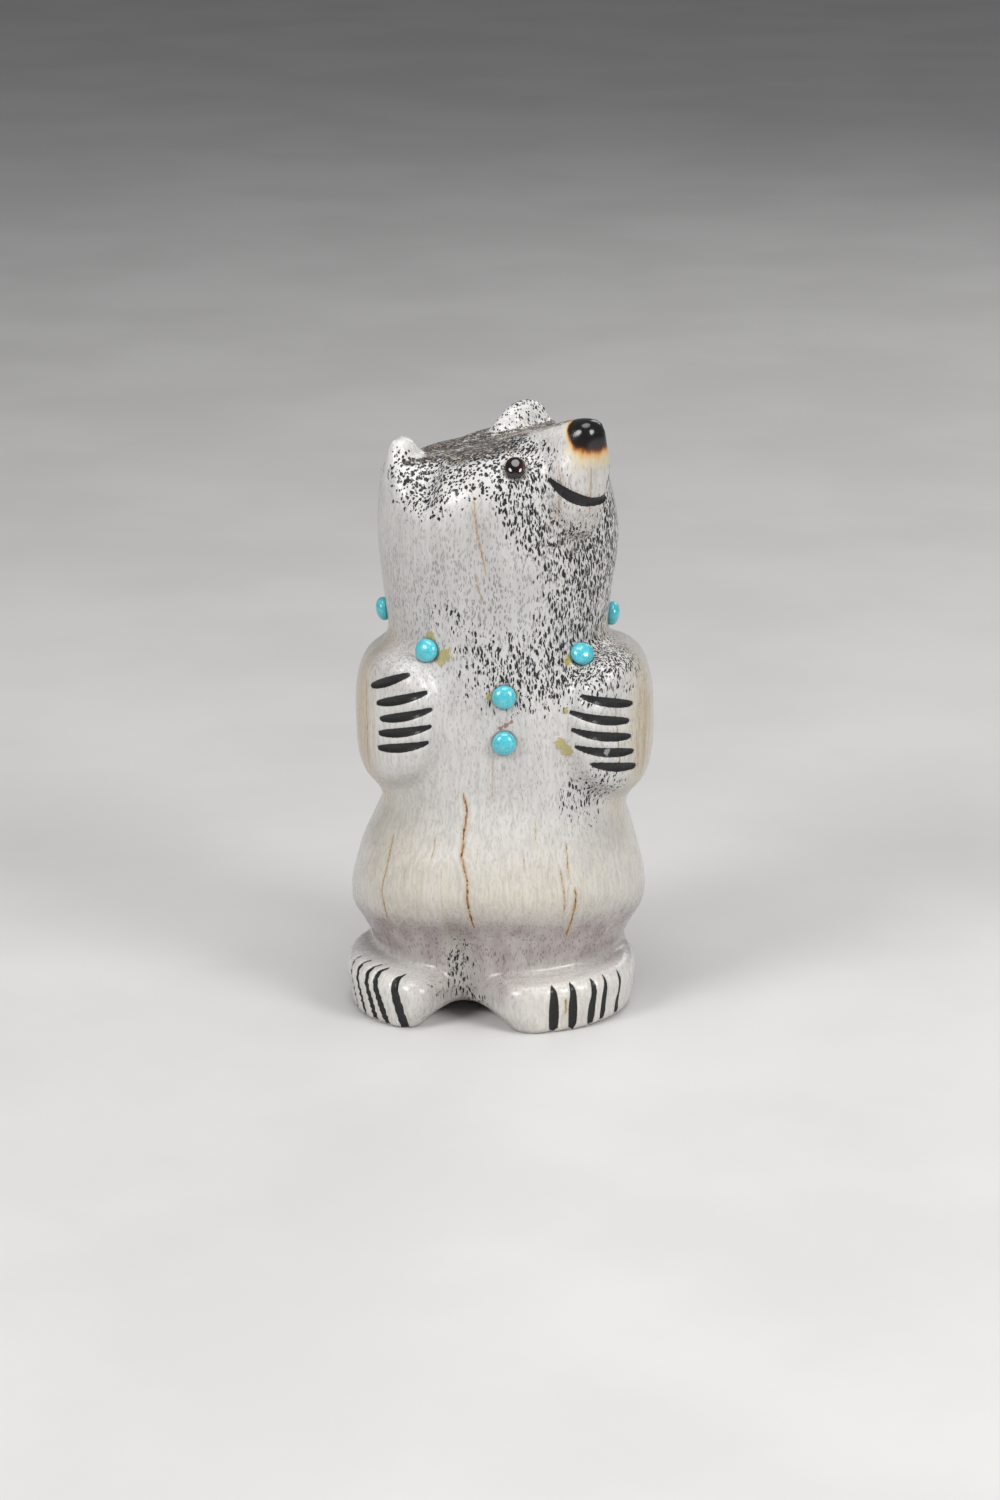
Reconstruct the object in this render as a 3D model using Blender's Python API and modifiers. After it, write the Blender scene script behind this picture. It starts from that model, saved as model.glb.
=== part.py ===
# A standing bear carved from one length of antler, with set beads round its neck and two set eyes.
# It stands on its own flat sole. Forms are written in millimetres, +Z up. -Y is the bear's front and
# +X its left.

import math

import bmesh
import bpy
import numpy as np
from mathutils import Matrix, Vector

OBJECT_NAME = "bear_fetish"
MM = 0.001

# The middle of the bear's own box, which becomes the origin, on the sole
ORIGIN = np.array([-0.47, -0.62, 0.0])

# The round antler that the bear is cut from
STOCK_HALF_WIDTH = 19.05
STOCK_HALF_DEPTH = 18.2
STOCK_CENTRE_X = 0.1
STOCK_POWER = 2.1

# Head and body at rising levels: height, left, right, front and back reach from the axis
TRUNK_LEVELS = np.array([
    (-3.0, -16.2, 14.6, -13.2, 15.2),
    (3.0, -16.3, 14.8, -13.5, 15.6),
    (7.2, -16.5, 15.1, -13.9, 16.0),
    (9.4, -17.6, 16.1, -14.6, 16.4),
    (11.6, -19.0, 17.3, -16.0, 16.7),
    (14.0, -19.2, 17.8, -17.0, 16.8),
    (19.5, -18.0, 16.9, -17.0, 16.3),
    (26.5, -15.1, 14.9, -15.8, 14.6),
    (33.0, -14.4, 14.0, -15.2, 14.0),
    (41.0, -14.3, 13.6, -14.8, 13.8),
    (47.0, -14.2, 12.8, -14.2, 13.4),
    (53.0, -14.9, 13.4, -13.9, 13.7),
    (60.5, -15.6, 14.1, -14.0, 14.2),
    (66.0, -15.3, 13.1, -13.9, 14.0),
    (71.0, -14.5, 11.6, -12.9, 13.2),
    (76.0, -12.6, 10.4, -11.0, 13.0),
])
TRUNK_POWER = 2.15
HAUNCH_TILT = 0.15
HAUNCH_TOP = 24.0

# The head looks up and to its left
HEAD_YAW = math.radians(44)
HEAD_X = -0.75
CROWN_HEIGHT = 70.0
CROWN_RISE = 0.0100
CROWN_LEAN = 0.075
CROWN_ROUND = 7.5
GAZE = np.array([math.sin(HEAD_YAW), -math.cos(HEAD_YAW), 0.0])
ACROSS = np.array([math.cos(HEAD_YAW), math.sin(HEAD_YAW), 0.0])
HEAD = np.array([HEAD_X, 0.0, 0.0])

# Muzzle at rising levels: height, half width, reach along the gaze
MUZZLE_LEVELS = np.array([
    (58.0, 0.6, 11.0),
    (60.5, 1.6, 13.6),
    (62.0, 2.6, 15.4),
    (64.0, 3.4, 16.3),
    (66.5, 4.3, 16.8),
    (69.5, 4.4, 17.1),
    (72.5, 3.5, 17.3),
    (75.0, 2.7, 17.2),
    (77.0, 2.0, 16.6),
    (80.0, 1.4, 15.0),
])
MUZZLE_POWER = 3.2
MUZZLE_ROOT = 9.0
MUZZLE_SHIFT = 0.1
NOSE_TOP = 76.7
NOSE_SLOPE = 0.34
CHIN = 60.4

# Ears, right then left: side, height of the tip, half width, half height,
# then the way out from the head's middle and back from it
EARS = ((-1, 72.7, 4.2, 7.6, 10.2, 6.2), (1, 74.2, 6.1, 6.6, 9.2, 4.7))
EAR_HALF_THICKNESS = 2.5
EAR_RIM = 1.4
EAR_DENT = 0.45

# Arms folded on the chest, each ending in a flat paw
# Side, height and half height of each arm, then of its paw
ARMS = ((-1, 36.6, 9.7, 39.2, 7.5), (1, 36.1, 10.2, 38.5, 8.0))
ARM_OUT = 12.3
ARM_HALF_WIDTH = 7.0
ARM_HALF_DEPTH = 10.5
ARM_POWER = 2.3
ARM_BLEND = 7.0
PAW_FRONT = -10.2
PAW_HALF_WIDTH = 5.6
PAW_HALF_DEPTH = 6.8
PAW_YAW = math.radians(38)

# The slab of the feet, and the gap between them from its foot upwards:
# height, depth in Y, half angle in degrees, half width at that depth
FOOT_LEFT, FOOT_RIGHT, FOOT_FRONT, FOOT_BACK = -19.7, 16.5, -18.4, 11.0
FOOT_HEIGHT = 6.8
FOOT_POWER = 2.25
GAP_X = -5.0
GAP_TOP = 18.0
GAP_LEVELS = np.array([
    (-2.0, -3.4, 20.0, 1.5),
    (0.0, -4.4, 22.0, 1.5),
    (1.0, -7.2, 27.0, 1.3),
    (2.0, -10.2, 32.0, 1.1),
    (4.0, -11.2, 36.0, 0.7),
    (7.5, -11.8, 42.0, 0.5),
    (10.0, -12.5, 46.0, 0.4),
    (14.0, -15.7, 52.0, 0.2),
    (17.0, -18.4, 60.0, 0.0),
    (20.0, -21.0, 60.0, 0.0),
])
BELOW_SOLE = 2.0

# Set beads: compass angle from the front, positive to +X, and height
BEADS = {
    "bead_front_upper": (0.0, 42.6),
    "bead_front_lower": (0.0, 36.9),
    "bead_chest_right": (-38.5, 47.6),
    "bead_chest_left": (41.0, 46.8),
    "bead_side_right": (-90.0, 49.9),
    "bead_side_left": (86.0, 49.5),
    "bead_back_right": (-135.0, 50.0),
    "bead_back_left": (133.0, 49.8),
    "bead_nape": (180.0, 50.4),
}
BEAD_RADIUS = 1.5
BEAD_STAND = 1.45
BEAD_DEPTH = 1.1

# Set eyes, mirrored about the head's own middle plane
EYE_ALONG = 9.8
EYE_ACROSS = 6.6
EYE_HEIGHT = 70.3
EYE_RADIUS = 1.5
EYE_WIDTH_SHARE = 0.84
EYE_STAND = 0.85
EYE_DEPTH = 1.0
SETTING_GAP = 0.15

# Cut claws: compass angles and heights of both ends of the top claw, and the step down to the next
PAW_CLAWS = (
    dict(inner=(-40, -33, -31, -31, -32), outer=(-59, -55, -53, -54, -54),
         inner_top=45.1, inner_step=2.1, outer_top=42.2, outer_step=1.85),
    dict(inner=(33, 30, 30, 31, 36), outer=(55, 53, 54, 56, 58),
         inner_top=42.6, inner_step=2.15, outer_top=40.7, outer_step=2.05),
)
PAW_CLAW_RADIUS = 0.55
# Foot claws: compass angle at the top and at the foot, and radius; each lies where a fan of lines from
# inside the foot meets its surface, from the fan's top angle to its foot angle
FOOT_CLAWS = ((-69, -64.5, 0.30), (-63, -58, 0.38), (-57, -51.5, 0.42), (-52.5, -46, 0.47), (-43, -38.5, 0.55),
              (19.5, 20, 0.55), (27.5, 28, 0.52), (37.3, 36.3, 0.45), (43.6, 42, 0.40), (52.5, 51.5, 0.36))
FOOT_FAN_RADIUS = 11.0
FOOT_FAN_HEIGHT = 2.0
FOOT_FAN_TOP = 31.0
FOOT_FAN_FOOT = -9.0
MOUTH_ALONG = 12.5
MOUTH_TURN = 6.0
MOUTH_HALF_ANGLE = 85.0
MOUTH_HEIGHT = 66.2
MOUTH_CURL = 2.95
MOUTH_CURL_POWER = 1.9
MOUTH_RADIUS = 0.5
GROOVE_LIFT = 0.1

# Mesh size: segments round and rings of the carved surface, and the share of its faces that is kept
SEGMENTS = 168
RINGS = 168
KEPT_SHARE = 0.088


def level_at(height, levels):
    # Smooth curve through the key levels, with slopes from the neighbouring levels
    heights = levels[:, 0]
    i = np.clip(np.searchsorted(heights, height) - 1, 0, len(heights) - 2)
    slopes = np.gradient(levels[:, 1:], heights, axis=0)
    gap = heights[i + 1] - heights[i]
    t = np.clip((height - heights[i]) / gap, 0, 1)[..., None]
    gap = gap[..., None]
    start, end = levels[i, 1:], levels[i + 1, 1:]
    return ((2 * t ** 3 - 3 * t ** 2 + 1) * start + (t ** 3 - 2 * t ** 2 + t) * gap * slopes[i]
            + (3 * t ** 2 - 2 * t ** 3) * end + (t ** 3 - t ** 2) * gap * slopes[i + 1])


def joined(a, b, blend):
    # Union of two forms with a rounded valley between them
    share = np.clip(0.5 + 0.5 * (b - a) / blend, 0, 1)
    return b + (a - b) * share - blend * share * (1 - share)


def common(a, b, blend):
    # What lies in both forms, with a rounded edge
    return -joined(-a, -b, blend)


def cut(a, b, blend):
    # The first form with the second cut away
    return -joined(-a, b, blend)


def turned(yaw=0.0, pitch=0.0, roll=0.0):
    # Axes of a turned form as columns: yaw swings the front to +X, pitch lifts the front
    return np.array(Matrix.Rotation(yaw, 3, "Z") @ Matrix.Rotation(-pitch, 3, "X") @ Matrix.Rotation(-roll, 3, "Y"))


def egg(points, centre, radii, axes=np.eye(3), power=2.0):
    # An ellipsoid, or a squarer one where the power is above two
    q = (points - np.asarray(centre)) @ axes / np.asarray(radii)
    steepness = np.sqrt(((q / np.asarray(radii)) ** 2).sum(-1)) / (np.sqrt((q * q).sum(-1)) + 1e-9) + 1e-9
    size = (np.abs(q) ** power).sum(-1) ** (1 / power)
    return (size - 1) / steepness


def rounded_oval(x, y, half_width, half_depth, power):
    return (np.abs(x / half_width) ** power + np.abs(y / half_depth) ** power) ** (1 / power)


def head_point(along, across, height):
    return HEAD + along * GAZE + across * ACROSS + np.array([0.0, 0.0, height])


def stock(p):
    size = rounded_oval(p[..., 0] - STOCK_CENTRE_X, p[..., 1], STOCK_HALF_WIDTH, STOCK_HALF_DEPTH, STOCK_POWER)
    return (size - 1) * STOCK_HALF_DEPTH


def trunk(p):
    # Key levels tip down towards the back below the haunches
    low = np.clip((HAUNCH_TOP - p[..., 2]) / 10.0, 0, 1)
    level = p[..., 2] + HAUNCH_TILT * p[..., 1] * low * low * (3 - 2 * low)
    reach = level_at(level, TRUNK_LEVELS)
    left, right, front, back = (reach[..., k] for k in range(4))
    half_width, half_depth = (right - left) / 2, (back - front) / 2
    size = rounded_oval(p[..., 0] - (right + left) / 2, p[..., 1] - (back + front) / 2,
                        half_width, half_depth, TRUNK_POWER)
    return (size - 1) * np.minimum(half_width, half_depth)


def crown(p):
    # The top of the head, level behind and rising to the nose
    q = p - HEAD
    rise = CROWN_RISE * np.clip(q @ GAZE + 10, 0, None) ** 2
    return (p[..., 2] - (CROWN_HEIGHT + rise + CROWN_LEAN * (q @ ACROSS))) * 0.96


def muzzle(p):
    q = p - HEAD
    along, across = q @ GAZE, q @ ACROSS - MUZZLE_SHIFT
    reach = level_at(np.clip(p[..., 2], 58, 79.9), MUZZLE_LEVELS)
    half_width, length = reach[..., 0], reach[..., 1] - MUZZLE_ROOT
    side = (rounded_oval(across, along - MUZZLE_ROOT, half_width, length, MUZZLE_POWER) - 1) * half_width
    top = (p[..., 2] - NOSE_TOP) * 0.96 + NOSE_SLOPE * (15.5 - along) + 0.05 * across ** 2
    chin = CHIN - 0.2 * (16 - along) - p[..., 2]
    return common(common(side, top, 1.8), chin, 3.0)


def muzzle_root(p):
    # The face is cut back softly round the root of the muzzle
    return egg(p, head_point(22.6, 0, 65.0), (10.5, 9.3, 10.5), turned(HEAD_YAW, math.radians(6)))


def ear(p, side, top, half_width, half_height, out, back):
    centre = head_point(-back, side * out, top - half_height)
    axes = turned(HEAD_YAW - math.radians(4), 0, side * math.radians(-8))
    outside = egg(p, centre, (half_width, EAR_HALF_THICKNESS, half_height), axes)
    dent_centre = centre + 2.3 * GAZE - 0.2 * side * ACROSS + [0, 0, half_height - 2.6]
    dent = egg(p, dent_centre, (half_width * 0.5, EAR_DENT, 2.6), axes)
    return cut(outside, dent, 0.7)


def ear_scoop(p):
    # A soft scoop runs down from the face of the right ear over the rim of the head
    axes = turned(math.radians(-42), math.radians(30), math.radians(24))
    return egg(p, (-10.4, -7.6, 71.6), (2.0, 2.9, 7.4), axes)


def arm(p, side, height, half_height, paw_height, paw_half_height):
    # Two squarish eggs, the upper arm and the turned paw, melted into one
    x = STOCK_CENTRE_X + side * ARM_OUT
    upper = egg(p, (x, 1.0, height), (ARM_HALF_WIDTH, ARM_HALF_DEPTH, half_height), power=ARM_POWER)
    paw = egg(p, (x, PAW_FRONT, paw_height), (PAW_HALF_WIDTH, PAW_HALF_DEPTH, paw_half_height),
              turned(side * PAW_YAW), ARM_POWER)
    return joined(upper, paw, ARM_BLEND)


def feet(p):
    half_width, half_depth = (FOOT_RIGHT - FOOT_LEFT) / 2, (FOOT_BACK - FOOT_FRONT) / 2
    size = rounded_oval(p[..., 0] - (FOOT_RIGHT + FOOT_LEFT) / 2, p[..., 1] - (FOOT_BACK + FOOT_FRONT) / 2,
                        half_width, half_depth, FOOT_POWER)
    sides = (size - 1) * half_width + 0.14 * np.clip(4.5 - p[..., 2], 0, None)
    top = p[..., 2] - FOOT_HEIGHT + 0.05 * np.clip(-6 - p[..., 1], 0, None)
    return common(sides, top, 2.0)


def feet_gap(p):
    # The gap between the feet, running up into the crease between the legs
    k = level_at(np.clip(p[..., 2], -2, 19.9), GAP_LEVELS)
    depth, half_angle = k[..., 0], np.radians(k[..., 1])
    off = np.hypot(p[..., 0] - GAP_X, 0.5)
    walls = (off - k[..., 2]) * np.cos(half_angle) - (depth - p[..., 1]) * np.sin(half_angle)
    return common(common(walls, p[..., 1] - depth, 1.6), p[..., 2] - GAP_TOP, 2.0)


def bear(p):
    # The whole carved form: negative inside, positive outside
    ears = np.minimum(ear(p, *EARS[0]), ear(p, *EARS[1]))
    # The rim of the head is soft, except where an ear carries the side of the head upwards
    away = np.clip((ears - 0.2) / 3.0, 0, 1)
    rim = EAR_RIM + (CROWN_ROUND - EAR_RIM) * away * away * (3 - 2 * away)
    form = common(trunk(p), joined(crown(p), ears, 1.3), rim)
    form = cut(form, muzzle_root(p), 3.0)
    form = cut(form, ear_scoop(p), 1.8)
    form = joined(form, muzzle(p), 1.2)
    arms = common(np.minimum(arm(p, *ARMS[0]), arm(p, *ARMS[1])), stock(p), 2.0)
    form = joined(form, arms, 2.2)
    form = joined(form, feet(p), 1.2)
    form = cut(form, feet_gap(p), 2.6)
    return common(form, -BELOW_SOLE - p[..., 2], 0.6)


# The surface is found along lines from an inner guide to an outer one.
# Share of the way from sole to crown, then radius and height of both guides.
GUIDES = np.array([
    (0.0, 0.0, 3.0, 0.0, -4.0),
    (0.13, 1.5, 3.0, 26.0, -4.0),
    (0.20, 1.5, 8.0, 26.0, 1.0),
    (0.70, 0.5, 55.0, 26.0, 54.0),
    (0.80, 11.3, 65.0, 26.0, 66.0),
    (0.86, 11.3, 67.0, 13.0, 88.0),
    (0.915, 11.3, 66.5, 1.0, 88.0),
    (1.0, 0.0, 62.0, 0.0, 88.0),
])


def guide_ends(angle, share):
    inner_r, inner_z, outer_r, outer_z = (np.interp(share, GUIDES[:, 0], GUIDES[:, k]) for k in range(1, 5))
    outward = np.stack([np.sin(angle), -np.cos(angle)], -1)
    up = np.clip((inner_z - 10.0) / 10.0, 0, 1)
    axis = np.stack([GAP_X + 4.5 * up, 4.0 - 4.0 * up], -1)
    inner = np.concatenate([axis + outward * inner_r[..., None], inner_z[..., None]], -1)
    outer = np.concatenate([axis + outward * outer_r[..., None], outer_z[..., None]], -1)
    return inner, outer


def meet_surface(inner, outer, steps):
    # Halve the stretch between a point inside and one outside until it closes on the surface
    low = np.zeros(inner.shape[:-1])
    high = np.ones(inner.shape[:-1])
    for _ in range(steps):
        middle = (low + high) / 2
        inside = bear(inner + (outer - inner) * middle[..., None]) < 0
        low = np.where(inside, middle, low)
        high = np.where(inside, high, middle)
    return inner + (outer - inner) * high[..., None]


def slope(p):
    # Gradient of the form, from four close points
    corners = np.array([(1, 1, 1), (1, -1, -1), (-1, 1, -1), (-1, -1, 1)]) * 0.02
    return sum(corner * bear(p + corner)[..., None] for corner in corners) / (4 * 0.02 ** 2)


def carved_grid(segments, rings):
    # Grid of surface points, evenly spaced up each meridian, then relaxed over the surface
    angle = 2 * math.pi * np.arange(segments) / segments
    fine = np.linspace(0, 1, 420)
    line = meet_surface(*guide_ends(*np.meshgrid(angle, fine, indexing="ij")), 13)
    run = np.cumsum(np.linalg.norm(np.diff(line, axis=1), axis=-1), 1)
    run = np.concatenate([np.zeros((segments, 1)), run], 1)
    even = np.linspace(0, 1, rings + 1)
    share = np.stack([np.interp(even, run[i] / run[i, -1], fine) for i in range(segments)])
    grid = meet_surface(*guide_ends(np.repeat(angle[:, None], rings + 1, 1), share), 20)
    for _ in range(12):
        middle = (np.roll(grid, 1, 0) + np.roll(grid, -1, 0))[:, 1:-1] + grid[:, 2:] + grid[:, :-2]
        inside = grid[:, 1:-1] + 0.5 * (middle / 4 - grid[:, 1:-1])
        normal = slope(inside)
        step = bear(inside) / np.maximum((normal * normal).sum(-1), 0.2)
        grid[:, 1:-1] = inside - np.clip(step, -1, 1)[..., None] * normal
    return grid


def touch(azimuth, height, axis=(0.0, 0.0)):
    # Where a level line out from an axis meets the surface, and the outward direction there
    angle = math.radians(azimuth)
    outward = np.array([math.sin(angle), -math.cos(angle), 0.0])
    start = np.array([axis[0], axis[1], height])
    point = meet_surface(start, start + 26.0 * outward, 24)
    normal = slope(point)
    return point, normal / np.linalg.norm(normal)


def touch_foot(azimuth, elevation):
    # Where a line out and up from inside the foot meets the surface, and the outward direction there
    angle, lift = math.radians(azimuth), math.radians(elevation)
    outward = np.array([math.sin(angle), -math.cos(angle), 0.0])
    start = FOOT_FAN_RADIUS * outward + [0, 0, FOOT_FAN_HEIGHT]
    point = meet_surface(start, start + 16.0 * (math.cos(lift) * outward + [0, 0, math.sin(lift)]), 24)
    normal = slope(point)
    return point, normal / np.linalg.norm(normal)


def placed(points):
    return (points - ORIGIN) * MM


def collection(name):
    group = bpy.data.collections.new(name)
    bpy.context.scene.collection.children.link(group)
    return group


def surface(name, colour, roughness):
    material = bpy.data.materials.new(name)
    material.use_nodes = True
    shader = material.node_tree.nodes["Principled BSDF"]
    shader.inputs["Base Color"].default_value = (*colour, 1.0)
    shader.inputs["Roughness"].default_value = roughness
    shader.inputs["Metallic"].default_value = 0.0
    return material


def antler():
    return surface("antler", (0.74, 0.70, 0.66), 0.32)


def turquoise():
    return surface("turquoise", (0.10, 0.52, 0.62), 0.25)


def dark_stone():
    return surface("dark_stone", (0.03, 0.012, 0.012), 0.08)


def mesh_object(name, mesh, group):
    piece = bpy.data.objects.new(name, mesh)
    group.objects.link(piece)
    return piece


def as_cutter(piece):
    piece.hide_render = True
    piece.display_type = "WIRE"
    return piece


def cut_away(piece, cutter):
    boolean = piece.modifiers.new(cutter.name, "BOOLEAN")
    boolean.operation = "DIFFERENCE"
    boolean.solver = "EXACT"
    boolean.object = cutter


def carved_body(group, material):
    # A fine sphere whose points are moved onto the carved form
    grid = placed(carved_grid(SEGMENTS, RINGS))
    bm = bmesh.new()
    bmesh.ops.create_uvsphere(bm, u_segments=SEGMENTS, v_segments=RINGS, radius=1.0)
    for vertex in bm.verts:
        x, y, z = vertex.co
        ring = round(RINGS * (1 - math.acos(max(-1.0, min(1.0, z))) / math.pi))
        column = round(SEGMENTS * math.atan2(x, -y) / (2 * math.pi)) % SEGMENTS
        vertex.co = grid[column, ring]
    bmesh.ops.recalc_face_normals(bm, faces=bm.faces)
    mesh = bpy.data.meshes.new("antler_bear")
    bm.to_mesh(mesh)
    bm.free()
    mesh.materials.append(material)
    mesh.shade_smooth()
    body = mesh_object("antler_bear", mesh, group)
    fewer = body.modifiers.new("fewer faces", "DECIMATE")
    fewer.decimate_type = "COLLAPSE"
    fewer.ratio = KEPT_SHARE
    return body


def sole_cutter(group):
    bm = bmesh.new()
    bmesh.ops.create_cube(bm, size=1.0)
    height = 10.0
    bmesh.ops.scale(bm, vec=Vector((60.0, 60.0, height)) * MM, verts=bm.verts)
    bmesh.ops.translate(bm, vec=Vector((0, 0, -height / 2)) * MM, verts=bm.verts)
    mesh = bpy.data.meshes.new("sole_cutter")
    bm.to_mesh(mesh)
    bm.free()
    return as_cutter(mesh_object("sole_cutter", mesh, group))


def claw_paths():
    # Each groove is a row of points on the surface, with a share of its full radius at each
    swell = (0.25, 0.85, 1.0, 1.0, 0.85, 0.25)
    steps = np.linspace(0, 1, len(swell))
    for paw in PAW_CLAWS:
        for i, (inner, outer) in enumerate(zip(paw["inner"], paw["outer"])):
            start = paw["inner_top"] - i * paw["inner_step"]
            end = paw["outer_top"] - i * paw["outer_step"]
            path = [touch(inner + (outer - inner) * t, start + (end - start) * t) for t in steps]
            yield path, [PAW_CLAW_RADIUS * s for s in swell]
    for top, foot, radius in FOOT_CLAWS:
        path = [touch_foot(top + (foot - top) * t, FOOT_FAN_TOP + (FOOT_FAN_FOOT - FOOT_FAN_TOP) * t) for t in steps]
        yield path, [radius * s for s in swell]


def mouth_path():
    # The mouth is a smile round the front of the muzzle, highest at both ends
    centre = head_point(MOUTH_ALONG, MUZZLE_SHIFT, 0.0)
    turns = np.linspace(-1, 1, 11)
    heights = MOUTH_HEIGHT + MOUTH_CURL * np.abs(turns) ** MOUTH_CURL_POWER
    yaw = math.degrees(HEAD_YAW) + MOUTH_TURN
    path = [touch(yaw + MOUTH_HALF_ANGLE * t, h, centre[:2]) for t, h in zip(turns, heights)]
    return path, [MOUTH_RADIUS * (1 - 0.75 * abs(t) ** 4) for t in turns]


def groove_cutter(name, paths, group):
    curve = bpy.data.curves.new(name, "CURVE")
    curve.dimensions = "3D"
    curve.bevel_depth = MM
    curve.bevel_resolution = 1
    curve.use_fill_caps = True
    for path, radii in paths:
        spline = curve.splines.new("POLY")
        spline.points.add(len(path) - 1)
        for node, (point, normal), radius in zip(spline.points, path, radii):
            node.co = (*placed(point + GROOVE_LIFT * normal), 1.0)
            node.radius = radius
    tube = mesh_object(name + "_curve", curve, group)
    evaluated = tube.evaluated_get(bpy.context.evaluated_depsgraph_get())
    mesh = bpy.data.meshes.new_from_object(evaluated)
    bm = bmesh.new()
    bm.from_mesh(mesh)
    bmesh.ops.remove_doubles(bm, verts=bm.verts, dist=0.00001)
    bmesh.ops.recalc_face_normals(bm, faces=bm.faces)
    bm.to_mesh(mesh)
    bm.free()
    cutter = mesh_object(name, mesh, group)
    cutter.matrix_world = tube.matrix_world
    bpy.data.objects.remove(tube)
    return as_cutter(cutter)


def turned_mesh(name, profile, segments):
    # A profile of radius and height, top to bottom, spun about Z
    mesh = bpy.data.meshes.new(name)
    bm = bmesh.new()
    row = [bm.verts.new((r * MM, 0.0, z * MM)) for r, z in profile]
    for upper, lower in zip(row, row[1:]):
        bm.edges.new((upper, lower))
    bm.to_mesh(mesh)
    bm.free()
    piece = bpy.data.objects.new(name, mesh)
    bpy.context.scene.collection.objects.link(piece)
    screw = piece.modifiers.new("spin", "SCREW")
    screw.steps = segments
    screw.render_steps = segments
    screw.use_merge_vertices = True
    screw.merge_threshold = 0.00001
    evaluated = piece.evaluated_get(bpy.context.evaluated_depsgraph_get())
    spun = bpy.data.meshes.new_from_object(evaluated)
    spun.name = name
    spun.shade_smooth()
    spun.set_sharp_from_angle(angle=math.radians(40))
    bpy.data.objects.remove(piece)
    return spun


def domed_profile(radius, stand, depth):
    # A domed top on a short plug
    dome = [(radius * math.sin(t), stand - 1.1 + 1.1 * math.cos(t)) for t in np.linspace(0, math.pi / 2, 5)]
    return dome + [(radius * 0.97, -depth * 0.7), (radius * 0.7, -depth), (0.0, -depth)]


def socket_profile(radius, depth):
    reach = radius + SETTING_GAP
    foot = -depth - SETTING_GAP
    return [(0.0, 2.0), (reach, 2.0), (reach, foot), (0.0, foot)]


def settings():
    # Name, place, outward direction, radius, standing height, depth and width share of each set piece
    for name, (azimuth, height) in BEADS.items():
        point, normal = touch(azimuth, height)
        yield name, point, normal, BEAD_RADIUS, BEAD_STAND, BEAD_DEPTH, 1.0
    for name, side in (("eye_left", 1), ("eye_right", -1)):
        place = head_point(EYE_ALONG, side * EYE_ACROSS, EYE_HEIGHT)
        azimuth = math.degrees(math.atan2(place[0], -place[1]))
        point, normal = touch(azimuth, EYE_HEIGHT)
        yield name, point, normal, EYE_RADIUS, EYE_STAND, EYE_DEPTH, EYE_WIDTH_SHARE


def facing(point, normal, width_share):
    # Local Z along the outward direction, local Y as near upright as it can be
    z = Vector(normal)
    x = Vector((0, 0, 1)).cross(z).normalized()
    y = z.cross(x)
    turn = Matrix((x * width_share, y, z)).transposed().to_4x4()
    return Matrix.Translation(placed(point)) @ turn


def set_pieces(group, cutters, materials):
    bead = turned_mesh("bead", domed_profile(BEAD_RADIUS, BEAD_STAND, BEAD_DEPTH), 12)
    eye = turned_mesh("eye", domed_profile(EYE_RADIUS, EYE_STAND + 0.25, EYE_DEPTH), 16)
    bead.materials.append(materials["turquoise"])
    eye.materials.append(materials["dark_stone"])
    for name, point, normal, radius, _, depth, width_share in settings():
        place = facing(point, normal, width_share)
        mesh = (eye if name.startswith("eye") else bead).copy()
        mesh.name = name
        mesh.transform(place)
        mesh_object(name, mesh, group)
        socket = turned_mesh(name + "_socket", socket_profile(radius, depth), 12)
        socket.transform(place)
        yield as_cutter(mesh_object(name + "_socket", socket, cutters))


def main():
    for old in list(bpy.data.objects):
        bpy.data.objects.remove(old)
    group = collection(OBJECT_NAME)
    cutters = collection(OBJECT_NAME + "_cutters")
    materials = {"antler": antler(), "turquoise": turquoise(), "dark_stone": dark_stone()}
    body = carved_body(group, materials["antler"])
    cut_away(body, sole_cutter(cutters))
    cut_away(body, groove_cutter("claw_grooves", claw_paths(), cutters))
    cut_away(body, groove_cutter("mouth_groove", [mouth_path()], cutters))
    for socket in set_pieces(group, cutters, materials):
        cut_away(body, socket)


main()
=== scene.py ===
import math
from types import SimpleNamespace

import bpy
import numpy as np
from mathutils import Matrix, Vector


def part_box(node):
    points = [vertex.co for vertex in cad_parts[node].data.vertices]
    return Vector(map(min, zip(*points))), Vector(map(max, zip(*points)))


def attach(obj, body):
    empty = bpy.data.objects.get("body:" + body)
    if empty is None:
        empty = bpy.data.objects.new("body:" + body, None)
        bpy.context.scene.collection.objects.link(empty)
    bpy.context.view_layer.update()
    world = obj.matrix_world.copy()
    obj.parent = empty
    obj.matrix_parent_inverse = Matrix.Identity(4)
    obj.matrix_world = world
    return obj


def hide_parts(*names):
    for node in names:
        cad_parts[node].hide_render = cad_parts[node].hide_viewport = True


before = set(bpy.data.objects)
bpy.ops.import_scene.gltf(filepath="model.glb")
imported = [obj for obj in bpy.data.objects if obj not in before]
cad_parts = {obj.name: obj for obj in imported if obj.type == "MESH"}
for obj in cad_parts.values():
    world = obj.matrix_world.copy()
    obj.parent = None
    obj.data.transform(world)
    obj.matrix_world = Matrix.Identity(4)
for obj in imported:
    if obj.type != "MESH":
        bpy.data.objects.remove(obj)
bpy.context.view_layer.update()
print("frame loaded")

mm = 0.001
originShift = np.array([-0.47, -0.62, 0.0])   # forms are worked out in mm about the antler's middle


# forms, in millimetres: negative inside, positive outside

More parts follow.
